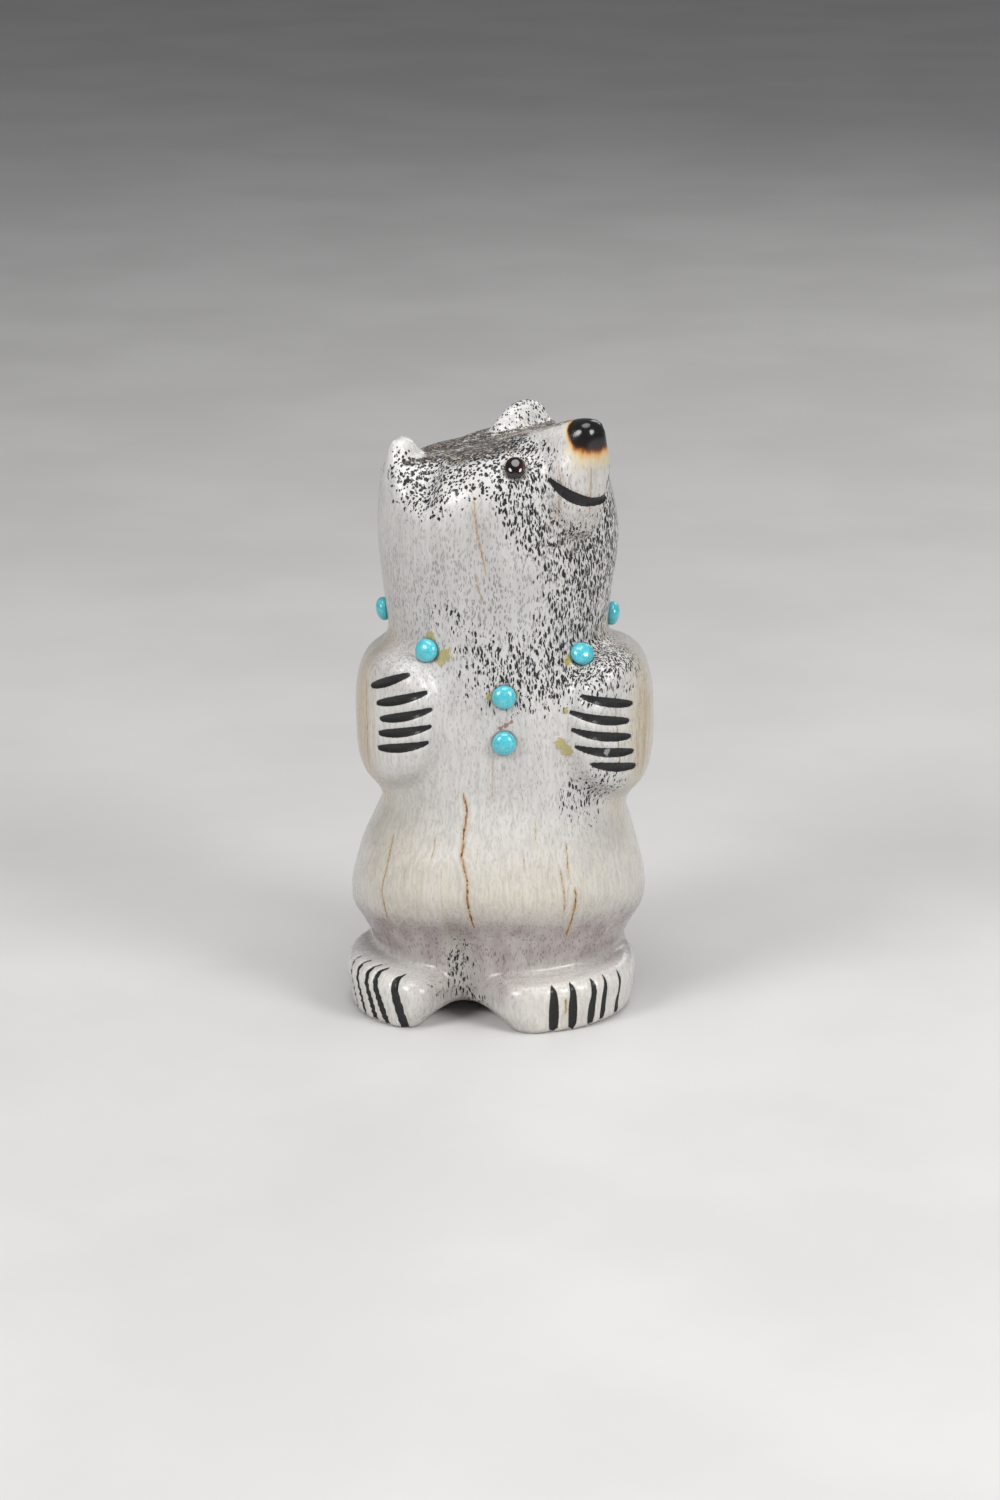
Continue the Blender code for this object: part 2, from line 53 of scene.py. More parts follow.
def levelAt(height, levels):
    # a smooth cubic through the key levels, its slopes taken from the neighbouring levels
    heights = levels[:, 0]
    i = np.clip(np.searchsorted(heights, height) - 1, 0, len(heights) - 2)
    slopes = np.gradient(levels[:, 1:], heights, axis=0)
    gap = heights[i + 1] - heights[i]
    t = np.clip((height - heights[i]) / gap, 0, 1)[..., None]
    gap = gap[..., None]
    start, end = levels[i, 1:], levels[i + 1, 1:]
    return ((2 * t ** 3 - 3 * t ** 2 + 1) * start + (t ** 3 - 2 * t ** 2 + t) * gap * slopes[i]
            + (3 * t ** 2 - 2 * t ** 3) * end + (t ** 3 - t ** 2) * gap * slopes[i + 1])


def joined(a, b, blend):
    # smaller of two forms, with a parabola over the last few tenths so that the valley is round
    share = np.clip(0.5 + 0.5 * (b - a) / blend, 0, 1)
    return b + (a - b) * share - blend * share * (1 - share)


def common(a, b, blend):
    return -joined(-a, -b, blend)


def cutFrom(a, b, blend):
    return -joined(-a, b, blend)


def rotation(angle, axis):
    c, s = math.cos(angle), math.sin(angle)
    rows = {"X": [(1, 0, 0), (0, c, -s), (0, s, c)], "Y": [(c, 0, s), (0, 1, 0), (-s, 0, c)],
            "Z": [(c, -s, 0), (s, c, 0), (0, 0, 1)]}
    return np.array(rows[axis])


def turned(yaw=0.0, pitch=0.0, roll=0.0):
    return rotation(yaw, "Z") @ rotation(-pitch, "X") @ rotation(-roll, "Y")


def egg(points, centre, radii, axes=np.eye(3), power=2.0):
    # distance to an ellipsoid: its scaled radius times that radius less one, over the slope
    q = (points - np.asarray(centre)) @ axes / np.asarray(radii)
    steepness = np.sqrt(((q / np.asarray(radii)) ** 2).sum(-1)) / (np.sqrt((q * q).sum(-1)) + 1e-9) + 1e-9
    size = np.sqrt((q * q).sum(-1)) if power == 2.0 else (np.abs(q) ** power).sum(-1) ** (1 / power)
    return (size - 1) / steepness


def roundedOval(x, y, halfWidth, halfDepth, power):
    # superellipse size: one on the outline
    return (np.abs(x / halfWidth) ** power + np.abs(y / halfDepth) ** power) ** (1 / power)


stockAntler = {"halfWidth": 19.05, "halfDepth": 18.2, "centreX": 0.1, "power": 2.1}

trunkPlan = {
    # height, then left, right, front and back reach
    "levels": np.array([
        (-3.0, -16.2, 14.6, -13.2, 15.2),
        (3.0, -16.3, 14.8, -13.5, 15.6),
        (7.2, -16.5, 15.1, -13.9, 16.0),
        (9.4, -17.6, 16.1, -14.6, 16.4),
        (11.6, -19.0, 17.3, -16.0, 16.7),
        (14.0, -19.2, 17.8, -17.0, 16.8),
        (19.5, -18.0, 16.9, -17.0, 16.3),
        (26.5, -15.1, 14.9, -15.8, 14.6),
        (33.0, -14.4, 14.0, -15.2, 14.0),
        (41.0, -14.3, 13.6, -14.8, 13.8),
        (47.0, -14.2, 12.8, -14.2, 13.4),
        (53.0, -14.9, 13.4, -13.9, 13.7),
        (60.5, -15.6, 14.1, -14.0, 14.2),
        (66.0, -15.3, 13.1, -13.9, 14.0),
        (71.0, -14.5, 11.6, -12.9, 13.2),
        (76.0, -12.6, 10.4, -11.0, 13.0)]),
    "power": 2.15, "haunchTilt": 0.15, "haunchTop": 24.0}

headPlan = {"yaw": math.radians(44), "x": -0.75, "crownHeight": 70.0, "crownRise": 0.0100, "crownLean": 0.075,
            "crownRound": 7.5}
gaze = np.array([math.sin(headPlan["yaw"]), -math.cos(headPlan["yaw"]), 0.0])
acrossHead = np.array([math.cos(headPlan["yaw"]), math.sin(headPlan["yaw"]), 0.0])
headMiddle = np.array([headPlan["x"], 0.0, 0.0])

muzzlePlan = {
    # height, half width, reach along the gaze
    "levels": np.array([
        (58.0, 0.6, 11.0),
        (60.5, 1.6, 13.6),
        (62.0, 2.6, 15.4),
        (64.0, 3.4, 16.3),
        (66.5, 4.3, 16.8),
        (69.5, 4.4, 17.1),
        (72.5, 3.5, 17.3),
        (75.0, 2.7, 17.2),
        (77.0, 2.0, 16.6),
        (80.0, 1.4, 15.0)]),
    "power": 3.2, "root": 9.0, "shift": 0.1, "noseTop": 76.7, "noseSlope": 0.34, "chin": 60.4}

earPlan = {
    # side, height of the tip, half width, half height, way out from the head's middle and back from it
    "ears": ((-1, 72.7, 4.2, 7.6, 10.2, 6.2), (1, 74.2, 6.1, 6.6, 9.2, 4.7)),
    "halfThickness": 2.5, "rim": 1.4, "dent": 0.45}

armPlan = {
    # side, height and half height of the arm, then of its paw
    "arms": ((-1, 36.6, 9.7, 39.2, 7.5), (1, 36.1, 10.2, 38.5, 8.0)),
    "out": 12.3, "halfWidth": 7.0, "halfDepth": 10.5, "pawFront": -10.2,
    "pawHalfWidth": 5.6, "pawHalfDepth": 6.8, "pawYaw": math.radians(38), "power": 2.3, "blend": 7.0}

feetPlan = {
    "left": -19.7, "right": 16.5, "front": -18.4, "back": 11.0, "height": 6.8, "power": 2.25,
    "gapX": -5.0, "gapTop": 18.0,
    # gap from its foot upwards: height, depth, half angle in degrees, half width at that depth
    "gapLevels": np.array([
        (-2.0, -3.4, 20.0, 1.5),
        (0.0, -4.4, 22.0, 1.5),
        (1.0, -7.2, 27.0, 1.3),
        (2.0, -10.2, 32.0, 1.1),
        (4.0, -11.2, 36.0, 0.7),
        (7.5, -11.8, 42.0, 0.5),
        (10.0, -12.5, 46.0, 0.4),
        (14.0, -15.7, 52.0, 0.2),
        (17.0, -18.4, 60.0, 0.0),
        (20.0, -21.0, 60.0, 0.0)])}


def headPoint(along, across, height):
    return headMiddle + along * gaze + across * acrossHead + np.array([0.0, 0.0, height])


def stockForm(p):
    size = roundedOval(p[..., 0] - stockAntler["centreX"], p[..., 1], stockAntler["halfWidth"],
                       stockAntler["halfDepth"], stockAntler["power"])
    return (size - 1) * stockAntler["halfDepth"]


def trunkForm(p):
    # superellipse whose four reaches follow the key levels, tipped down towards the back at the haunches
    low = np.clip((trunkPlan["haunchTop"] - p[..., 2]) / 10.0, 0, 1)
    level = p[..., 2] + trunkPlan["haunchTilt"] * p[..., 1] * low * low * (3 - 2 * low)
    reach = levelAt(level, trunkPlan["levels"])
    left, right, front, back = (reach[..., k] for k in range(4))
    halfWidth, halfDepth = (right - left) / 2, (back - front) / 2
    size = roundedOval(p[..., 0] - (right + left) / 2, p[..., 1] - (back + front) / 2,
                       halfWidth, halfDepth, trunkPlan["power"])
    return (size - 1) * np.minimum(halfWidth, halfDepth)


def crownForm(p):
    # height over a top that is level behind and rises with the square of the way to the nose
    q = p - headMiddle
    rise = headPlan["crownRise"] * np.clip(q @ gaze + 10, 0, None) ** 2
    return (p[..., 2] - (headPlan["crownHeight"] + rise + headPlan["crownLean"] * (q @ acrossHead))) * 0.96


def muzzleForm(p):
    # superellipse across and along the gaze from the key levels, cut by a sloping top and chin
    q = p - headMiddle
    along, across = q @ gaze, q @ acrossHead - muzzlePlan["shift"]
    reach = levelAt(np.clip(p[..., 2], 58, 79.9), muzzlePlan["levels"])
    halfWidth, length = reach[..., 0], reach[..., 1] - muzzlePlan["root"]
    side = (roundedOval(across, along - muzzlePlan["root"], halfWidth, length, muzzlePlan["power"]) - 1) * halfWidth
    top = (p[..., 2] - muzzlePlan["noseTop"]) * 0.96 + muzzlePlan["noseSlope"] * (15.5 - along) + 0.05 * across ** 2
    chin = muzzlePlan["chin"] - 0.2 * (16 - along) - p[..., 2]
    return common(common(side, top, 1.8), chin, 3.0)


def muzzleRoot(p):
    return egg(p, headPoint(22.6, 0, 65.0), (10.5, 9.3, 10.5), turned(headPlan["yaw"], math.radians(6)))


def earForm(p, side, top, halfWidth, halfHeight, out, back):
    # an upright egg, with a smaller egg cut out of its face
    centre = headPoint(-back, side * out, top - halfHeight)
    axes = turned(headPlan["yaw"] - math.radians(4), 0, side * math.radians(-8))
    outside = egg(p, centre, (halfWidth, earPlan["halfThickness"], halfHeight), axes)
    dentCentre = centre + 2.3 * gaze - 0.2 * side * acrossHead + [0, 0, halfHeight - 2.6]
    dent = egg(p, dentCentre, (halfWidth * 0.5, earPlan["dent"], 2.6), axes)
    return cutFrom(outside, dent, 0.7)


def earFurrow(p):
    axes = turned(math.radians(-42), math.radians(30), math.radians(24))
    return egg(p, (-10.4, -7.6, 71.6), (2.0, 2.9, 7.4), axes)


def armForm(p, side, height, halfHeight, pawHeight, pawHalfHeight):
    # two squarish eggs, the upper arm and the turned paw, melted into one
    a = armPlan
    upper = egg(p, (stockAntler["centreX"] + side * a["out"], 1.0, height),
                (a["halfWidth"], a["halfDepth"], halfHeight), power=a["power"])
    paw = egg(p, (stockAntler["centreX"] + side * a["out"], a["pawFront"], pawHeight),
              (a["pawHalfWidth"], a["pawHalfDepth"], pawHalfHeight), turned(side * a["pawYaw"]), a["power"])
    return joined(upper, paw, a["blend"])


def feetForm(p):
    f = feetPlan
    halfWidth, halfDepth = (f["right"] - f["left"]) / 2, (f["back"] - f["front"]) / 2
    size = roundedOval(p[..., 0] - (f["right"] + f["left"]) / 2, p[..., 1] - (f["back"] + f["front"]) / 2,
                       halfWidth, halfDepth, f["power"])
    sides = (size - 1) * halfWidth + 0.14 * np.clip(4.5 - p[..., 2], 0, None)
    top = p[..., 2] - f["height"] + 0.05 * np.clip(-6 - p[..., 1], 0, None)
    return common(sides, top, 2.0)


def feetGap(p):
    # a wedge that opens towards the front, its depth and angle from the key levels
    k = levelAt(np.clip(p[..., 2], -2, 19.9), feetPlan["gapLevels"])
    depth, halfAngle = k[..., 0], np.radians(k[..., 1])
    off = np.hypot(p[..., 0] - feetPlan["gapX"], 0.5)
    walls = (off - k[..., 2]) * np.cos(halfAngle) - (depth - p[..., 1]) * np.sin(halfAngle)
    return common(common(walls, p[..., 1] - depth, 1.6), p[..., 2] - feetPlan["gapTop"], 2.0)


def bearForm(p):
    ears = np.minimum(earForm(p, *earPlan["ears"][0]), earForm(p, *earPlan["ears"][1]))
    # the rim of the head is soft, except where an ear carries the side of the head upwards
    away = np.clip((ears - 0.2) / 3.0, 0, 1)
    rim = earPlan["rim"] + (headPlan["crownRound"] - earPlan["rim"]) * away * away * (3 - 2 * away)
    form = common(trunkForm(p), joined(crownForm(p), ears, 1.3), rim)
    form = cutFrom(form, muzzleRoot(p), 3.0)
    form = cutFrom(form, earFurrow(p), 1.8)
    form = joined(form, muzzleForm(p), 1.2)
    arms = common(np.minimum(armForm(p, *armPlan["arms"][0]), armForm(p, *armPlan["arms"][1])), stockForm(p), 2.0)
    form = joined(form, arms, 2.2)
    form = joined(form, feetForm(p), 1.2)
    form = cutFrom(form, feetGap(p), 2.6)
    return common(form, -p[..., 2], 0.5)


def slopeOf(p):
    # gradient of the form from four close points
    corners = np.array([(1, 1, 1), (1, -1, -1), (-1, 1, -1), (-1, -1, 1)]) * 0.02
    return sum(corner * bearForm(p + corner)[..., None] for corner in corners) / (4 * 0.02 ** 2)


# the carved skin: a grid from the middle of the sole round and up to the crown

skinGrid = {
    "around": 78, "along": 80,            # before both are doubled twice
    "frontPull": 0.3,                     # columns crowd towards the front by this share
    "soleShare": 0.4,                     # rings on the sole are this much sparser
    "rounds": (36, 12, 4),
    # share of the way up, then radius and height of the inner and outer guide
    "guides": np.array([
        (0.0, 0.0, 3.0, 0.0, -4.0),
        (0.13, 1.5, 3.0, 26.0, -4.0),
        (0.20, 1.5, 8.0, 26.0, 1.0),
        (0.70, 0.5, 55.0, 26.0, 54.0),
        (0.80, 11.3, 65.0, 26.0, 66.0),
        (0.86, 11.3, 67.0, 13.0, 88.0),
        (0.915, 11.3, 66.5, 1.0, 88.0),
        (1.0, 0.0, 62.0, 0.0, 88.0)])}


def guideEnds(angle, share):
    table = skinGrid["guides"]
    innerR, innerZ, outerR, outerZ = (np.interp(share, table[:, 0], table[:, k]) for k in range(1, 5))
    outward = np.stack([np.sin(angle), -np.cos(angle)], -1)
    up = np.clip((innerZ - 10.0) / 10.0, 0, 1)
    axis = np.stack([feetPlan["gapX"] + 4.5 * up, 4.0 - 4.0 * up], -1)
    inner = np.concatenate([axis + outward * innerR[..., None], innerZ[..., None]], -1)
    outer = np.concatenate([axis + outward * outerR[..., None], outerZ[..., None]], -1)
    return inner, outer


def meetSkin(inner, outer, steps):
    # halve the stretch between a point inside and one outside until it closes on the surface
    low = np.zeros(inner.shape[:-1])
    high = np.ones(inner.shape[:-1])
    for _ in range(steps):
        middle = (low + high) / 2
        inside = bearForm(inner + (outer - inner) * middle[..., None]) < 0
        low = np.where(inside, middle, low)
        high = np.where(inside, high, middle)
    return inner + (outer - inner) * ((low + high) / 2)[..., None]


def relaxed(grid, rounds):
    # each point moves half way to the middle of its four neighbours, then back down the form's slope
    for _ in range(rounds):
        middle = (np.roll(grid, 1, 0) + np.roll(grid, -1, 0))[:, 1:-1] + grid[:, 2:] + grid[:, :-2]
        inside = grid[:, 1:-1] + 0.5 * (middle / 4 - grid[:, 1:-1])
        slope = slopeOf(inside)
        step = bearForm(inside) / np.maximum((slope * slope).sum(-1), 0.2)
        grid[:, 1:-1] = inside - np.clip(step, -1.0, 1.0)[..., None] * slope
    return grid


def doubled(grid):
    # midpoints by the cubic through four neighbours, first up and then round
    ends = np.concatenate([2 * grid[:, :1] - grid[:, 1:2], grid, 2 * grid[:, -1:] - grid[:, -2:-1]], 1)
    between = (9 * (ends[:, 1:-2] + ends[:, 2:-1]) - ends[:, :-3] - ends[:, 3:]) / 16
    tall = np.empty((grid.shape[0], grid.shape[1] * 2 - 1, 3))
    tall[:, 0::2], tall[:, 1::2] = grid, between
    between = (9 * (tall + np.roll(tall, -1, 0)) - np.roll(tall, 1, 0) - np.roll(tall, -2, 0)) / 16
    full = np.empty((tall.shape[0] * 2, tall.shape[1], 3))
    full[0::2], full[1::2] = tall, between
    return full


def carvedSkin():
    turn = np.arange(skinGrid["around"]) / skinGrid["around"] * 2 * math.pi
    angle = turn - skinGrid["frontPull"] * np.sin(turn)
    fine = np.linspace(0, 1, 420)
    line = meetSkin(*guideEnds(*np.meshgrid(angle, fine, indexing="ij")), 12)
    pieces = np.linalg.norm(np.diff(line, axis=1), axis=-1)
    pieces *= np.where(line[:, 1:, 2] < 0.15, skinGrid["soleShare"], 1.0)
    run = np.concatenate([np.zeros((len(angle), 1)), np.cumsum(pieces, 1)], 1)
    even = np.linspace(0, 1, skinGrid["along"])
    share = np.stack([np.interp(even, row / row[-1], fine) for row in run])
    grid = meetSkin(*guideEnds(np.repeat(angle[:, None], len(even), 1), share), 16)
    for level, rounds in enumerate(skinGrid["rounds"]):
        grid = relaxed(doubled(grid) if level else grid, rounds)
    return grid


def touchSkin(azimuths, heights, axis=(0.0, 0.0), ahead=0.0, lift=0.0):
    # where lines out from an axis meet the surface, and the outward directions there
    angle, lift = np.radians(np.atleast_1d(azimuths).astype(float)), np.radians(lift)
    level = np.stack([np.sin(angle), -np.cos(angle), 0 * angle], -1)
    start = np.stack([0 * angle + axis[0], 0 * angle + axis[1], np.broadcast_to(heights, angle.shape)], -1)
    start = start + ahead * level
    outward = level * np.cos(lift)[..., None] + np.array([0, 0, 1.0]) * np.sin(lift)[..., None]
    point = meetSkin(start, start + (26.0 - ahead * 0.9) * outward, 24)
    slope = slopeOf(point)
    return point, slope / np.linalg.norm(slope, axis=-1, keepdims=True)


# what is cut into the skin

clawPlan = {
    # compass angles of both ends of each paw claw, heights of the top one and steps down to the next
    "paws": (
        {"inner": (-40, -33, -31, -31, -32), "outer": (-59, -55, -53, -54, -54),
         "innerTop": 45.2, "innerStep": 2.1, "outerTop": 42.6, "outerStep": 1.88},
        {"inner": (33, 30, 30, 31, 36), "outer": (55, 53, 54, 56, 58),
         "innerTop": 42.6, "innerStep": 2.15, "outerTop": 40.7, "outerStep": 2.05}),
    "pawRadius": 0.60,
    # foot claws: compass angle at the top and at the foot, half width; a fan of lines from inside the foot finds them
    "feet": ((-69, -64.5, 0.30), (-63, -58, 0.40), (-57, -51.5, 0.46), (-52.5, -46, 0.52), (-43, -38.5, 0.66),
             (19.5, 20, 0.66), (27.5, 28, 0.62), (37.3, 36.3, 0.52), (43.6, 42, 0.46), (52.5, 51.5, 0.38)),
    "fanRadius": 11.0, "fanHeight": 2.0, "fanTop": 33.0, "fanFoot": -12.0, "depth": 0.36}

mouthPlan = {"along": 12.5, "turn": 6.0, "halfAngle": 86.0, "height": 66.2, "curl": 2.95, "power": 1.9,
             "radius": 0.66}


def grooveLines():
    # each groove is a row of surface points with the half width there, swelling like a spindle
    t = np.linspace(0, 1, 22)
    spindle = np.clip(np.sin(math.pi * (0.04 + 0.92 * t)), 0, 1) ** 0.36
    for paw in clawPlan["paws"]:
        for i, (inner, outer) in enumerate(zip(paw["inner"], paw["outer"])):
            start = paw["innerTop"] - i * paw["innerStep"]
            end = paw["outerTop"] - i * paw["outerStep"]
            sag = -0.12 * np.sin(math.pi * t)
            yield touchSkin(inner + (outer - inner) * t, start + (end - start) * t + sag)[0], \
                clawPlan["pawRadius"] * spindle
    tall = np.clip(np.sin(math.pi * (0.03 + 0.72 * t)), 0, 1) ** 0.6
    for top, foot, radius in clawPlan["feet"]:
        lift = clawPlan["fanTop"] + (clawPlan["fanFoot"] - clawPlan["fanTop"]) * t
        yield touchSkin(top + (foot - top) * t, clawPlan["fanHeight"], (0.0, 0.0), clawPlan["fanRadius"], lift)[0], \
            radius * tall
    turns = np.linspace(-1, 1, 40)
    heights = mouthPlan["height"] + mouthPlan["curl"] * np.abs(turns) ** mouthPlan["power"]
    centre = headPoint(mouthPlan["along"], muzzlePlan["shift"], 0.0)
    middle = math.degrees(headPlan["yaw"]) + mouthPlan["turn"]
    path = touchSkin(middle + mouthPlan["halfAngle"] * turns, heights, centre[:2])[0]
    swell = 1 - 0.18 * np.cos(1.6 * math.pi * turns)
    yield path, mouthPlan["radius"] * swell * (1 - 0.62 * np.abs(turns) ** 5)


def grooveDistance(points):
    # distance to the nearest groove's middle line less its half width there: negative in a groove
    best = np.full(len(points), 3.0)
    for path, radii in grooveLines():
        near = np.nonzero(((points > path.min(0) - 2.0) & (points < path.max(0) + 2.0)).all(-1))[0]
        a, step = path[:-1], np.diff(path, axis=0)
        t = ((points[near, None] - a) * step).sum(-1) / (step * step).sum(-1)
        t = np.clip(t, 0, 1)
        gap = np.linalg.norm(points[near, None] - a - t[..., None] * step, axis=-1)
        gap -= radii[:-1] + (radii[1:] - radii[:-1]) * t
        best[near] = np.minimum(best[near], gap.min(-1))
    return best


def ripples(points, wavelength, seed, count=14):
    # sum of plane waves in seeded directions, about -1 to 1
    rng = np.random.default_rng(seed)
    directions = rng.normal(size=(count, 3))
    directions /= np.linalg.norm(directions, axis=1, keepdims=True)
    waves = 2 * math.pi / (wavelength * rng.uniform(0.7, 1.4, count))
    phases = rng.uniform(0, 2 * math.pi, count)
    return np.sin(points @ (directions * waves[:, None]).T + phases).sum(-1) / math.sqrt(count)


# set stones

beadPlan = {
    # compass angle from the front, and height
    "places": {
        "bead_front_upper": (0.0, 42.6),
        "bead_front_lower": (0.0, 36.9),
        "bead_chest_right": (-38.5, 47.6),
        "bead_chest_left": (41.0, 46.8),
        "bead_side_right": (-90.0, 49.9),
        "bead_side_left": (86.0, 49.5),
        "bead_back_right": (-135.0, 50.0),
        "bead_back_left": (133.0, 49.8),
        "bead_nape": (180.0, 50.4)},
    "radius": 1.49, "stand": 1.42, "depth": 1.05, "stemRadius": 0.8}

eyePlan = {"along": 9.8, "across": 6.6, "height": 70.3, "radius": 1.48, "widthShare": 0.84,
           "stand": 1.05, "depth": 0.95, "stemRadius": 0.75}


def stonePlaces():
    # name, surface point and outward direction of every set stone
    names = list(beadPlan["places"])
    azimuths, heights = np.array([beadPlan["places"][name] for name in names]).T
    points, normals = touchSkin(azimuths, heights)
    stones = dict(zip(names, zip(points, normals)))
    for name, side in (("eye_left", 1), ("eye_right", -1)):
        place = headPoint(eyePlan["along"], side * eyePlan["across"], eyePlan["height"])
        point, normal = touchSkin(math.degrees(math.atan2(place[0], -place[1])), eyePlan["height"])
        stones[name] = (point[0], normal[0])
    return stones


# where the antler's colours lie: compass angle, height, half width in degrees, half height, strength

antlerZones = {
    "round": (
        (-66, 70.2, 4, 2.6, 1.0), (-57, 69.4, 7, 3.0, 1.0), (-36, 68.8, 20, 3.2, 1.0), (-10, 71.2, 17, 2.6, 1.0),
        (-42, 66.0, 12, 2.0, 0.8),
        (-2, 68.6, 7, 2.2, 0.8), (10, 72.5, 16, 1.6, 0.8), (145, 75.4, 60, 2.4, 1.0),
        (-104, 70.0, 18, 2.4, 0.7)),
    "pore": (
        (17, 69.6, 9, 5.6, 1.0), (5, 66.6, 10, 2.4, 1.0), (13, 64.2, 12, 2.4, 1.0), (28, 61.0, 15, 2.5, 1.0),
        (47, 58.9, 20, 3.2, 1.0), (66, 63.0, 15, 8.0, 1.0), (54, 54.2, 20, 6.0, 0.95), (32, 53.6, 13, 5.4, 0.75),
        (47, 47.2, 18, 3.4, 1.0), (22, 46.4, 26, 3.4, 1.0), (-4, 47.0, 20, 2.8, 0.7), (8, 42.6, 22, 2.4, 0.65),
        (27, 43.0, 8, 2.4, 0.45), (40, 29.6, 14, 3.6, 0.75), (-29, 52.0, 14, 2.2, 0.45), (-24, 7.1, 6, 3.4, 0.9),
        (-16, 2.6, 7, 1.8, 0.6), (85, 66.0, 26, 9.0, 0.7), (150, 69.0, 50, 4.5, 0.8), (-130, 69.5, 45, 4.0, 0.8),
        (120, 50.0, 35, 6.0, 0.5), (175, 47.0, 30, 5.0, 0.45)),
    "grey": (
        (0, 51.0, 62, 8.5, 0.85), (-26, 59.0, 44, 7.5, 0.40), (12, 59.5, 30, 6.3, 0.6), (50, 53.5, 30, 10.0, 0.8),
        (20, 67.0, 14, 8.0, 0.8), (-50, 50.0, 26, 5.0, 0.7), (0, 30.0, 60, 7.0, 0.22), (39, 30.0, 18, 5.0, 0.6),
        (0, 38.0, 24, 6.0, 0.25), (180, 52.0, 90, 10.0, 0.55), (80, 60.0, 30, 14.0, 0.6), (-110, 66.0, 40, 8.0, 0.5),
        (130, 66.0, 50, 8.0, 0.55)),
    "mauve": (
        (-60, 10.4, 44, 3.2, 1.0), (-8, 11.0, 26, 3.0, 0.75), (44, 10.6, 44, 3.4, 1.0), (-24, 6.0, 9, 6.0, 0.9),
        (-2, 5.5, 12, 3.0, 0.55), (110, 10.0, 50, 3.0, 0.8), (180, 9.6, 60, 3.0, 0.8)),
    "stain": ((-24, 7.2, 6, 4.2, 1.0), (-23.5, 12.4, 3.2, 2.0, 0.9), (-16, 2.2, 9, 2.2, 0.9)),
    "wood": ((-70, 37.5, 9, 9.0, 1.0), (64, 37.5, 8, 9.0, 1.0), (-96, 36.0, 20, 9.0, 0.6), (92, 36.0, 20, 9.0, 0.6)),
    "cream": (
        (0, 18.5, 62, 6.0, 0.75), (26, 3.0, 16, 4.0, 0.85), (-68, 38.0, 8, 9.0, 1.0), (64, 38.0, 9, 9.0, 1.0),
        (62, 45.0, 12, 3.0, 0.6), (-45, 3.0, 12, 3.0, 0.35), (36, 66.0, 9, 6.0, 0.5), (42, 63.5, 10, 2.2, 0.8),
        (-34, 69.0, 16, 2.6, 0.5), (-48, 20.0, 16, 8.0, 0.5), (150, 24.0, 60, 10.0, 0.5),
        (-130, 30.0, 40, 12.0, 0.45)),
    "white": (
        (-48, 39.5, 14, 6.0, 1.0), (45, 37.5, 14, 6.0, 1.0), (-48, 4.0, 24, 3.4, 0.9), (32, 4.0, 28, 3.4, 0.9),
        (-72, 68.0, 6, 7.0, 0.8), (34, 68.0, 11, 6.0, 1.0), (37, 63.5, 9, 2.6, 0.8), (-20, 24.0, 24, 8.0, 0.3),
        (18, 26.0, 24, 9.0, 0.3))}

# fine drying cracks: layer, half width, depth of colour, then compass angle and height downwards
crackPlan = (
    (0, 0.085, 1.0, ((-18.8, 30.6), (-16.7, 28.1), (-17.9, 24.6), (-17.8, 22.5), (-15.1, 19.9), (-14.7, 16.7),
                     (-14.0, 12.6))),
    (1, 0.045, 0.5, ((-31.0, 25.0), (-30.6, 23.0), (-31.4, 21.4))),
    (0, 0.040, 0.45, ((-42.0, 21.4), (-42.6, 18.4))),
    (1, 0.040, 0.5, ((8.5, 23.3), (8.1, 20.8))),
    (0, 0.040, 0.4, ((14.0, 27.5), (13.6, 24.0))),
    (0, 0.060, 0.7, ((27.5, 24.2), (27.1, 19.2))),
    (1, 0.060, 0.6, ((23.7, 21.4), (26.1, 14.6))),
    (0, 0.085, 1.0, ((29.9, 18.6), (30.4, 13.7), (31.0, 10.8))),
    (1, 0.080, 0.6, ((-54.6, 23.9), (-52.2, 20.2), (-52.8, 16.4), (-52.1, 14.3), (-53.6, 11.9))),
    (1, 0.060, 0.55, ((-14.9, 67.2), (-13.2, 62.7), (-10.3, 59.6), (-8.6, 57.2))),
    (0, 0.055, 0.5, ((-13.7, 58.0), (-12.8, 56.0), (-10.2, 54.0))),
    (1, 0.040, 0.4, ((-5.1, 35.2), (-5.4, 29.6))),
    (0, 0.045, 0.6, ((38.9, 71.0), (39.5, 67.0), (39.9, 64.6))),
    (1, 0.045, 0.45, ((27.3, 71.6), (26.7, 67.1), (28.2, 64.2))),
    (0, 0.055, 0.5, ((-56.3, 6.9), (-51.9, 3.0), (-51.5, 1.0))),
    (0, 0.070, 1.0, ((24.3, 4.9), (24.8, 2.0))),
    (1, 0.050, 0.6, ((64.0, 43.5), (65.0, 38.0), (65.0, 31.0))),
    (1, 0.050, 0.7, ((-63.0, 43.5), (-62.5, 37.5), (-63.5, 31.0))),
    (0, 0.050, 0.5, ((70.0, 41.0), (70.5, 32.0))),
    (0, 0.045, 0.8, ((45.5, 41.3), (47.0, 37.0), (48.5, 32.5))),
    (1, 0.050, 0.6, ((57.5, 37.5), (59.5, 32.0))),
    (0, 0.060, 0.7, ((168.0, 34.0), (170.5, 27.0), (169.0, 19.0))),
    (1, 0.055, 0.6, ((-148.0, 62.0), (-146.0, 55.0), (-147.0, 51.0))),
    (0, 0.055, 0.6, ((118.0, 30.0), (120.0, 22.0), (119.0, 15.0))))

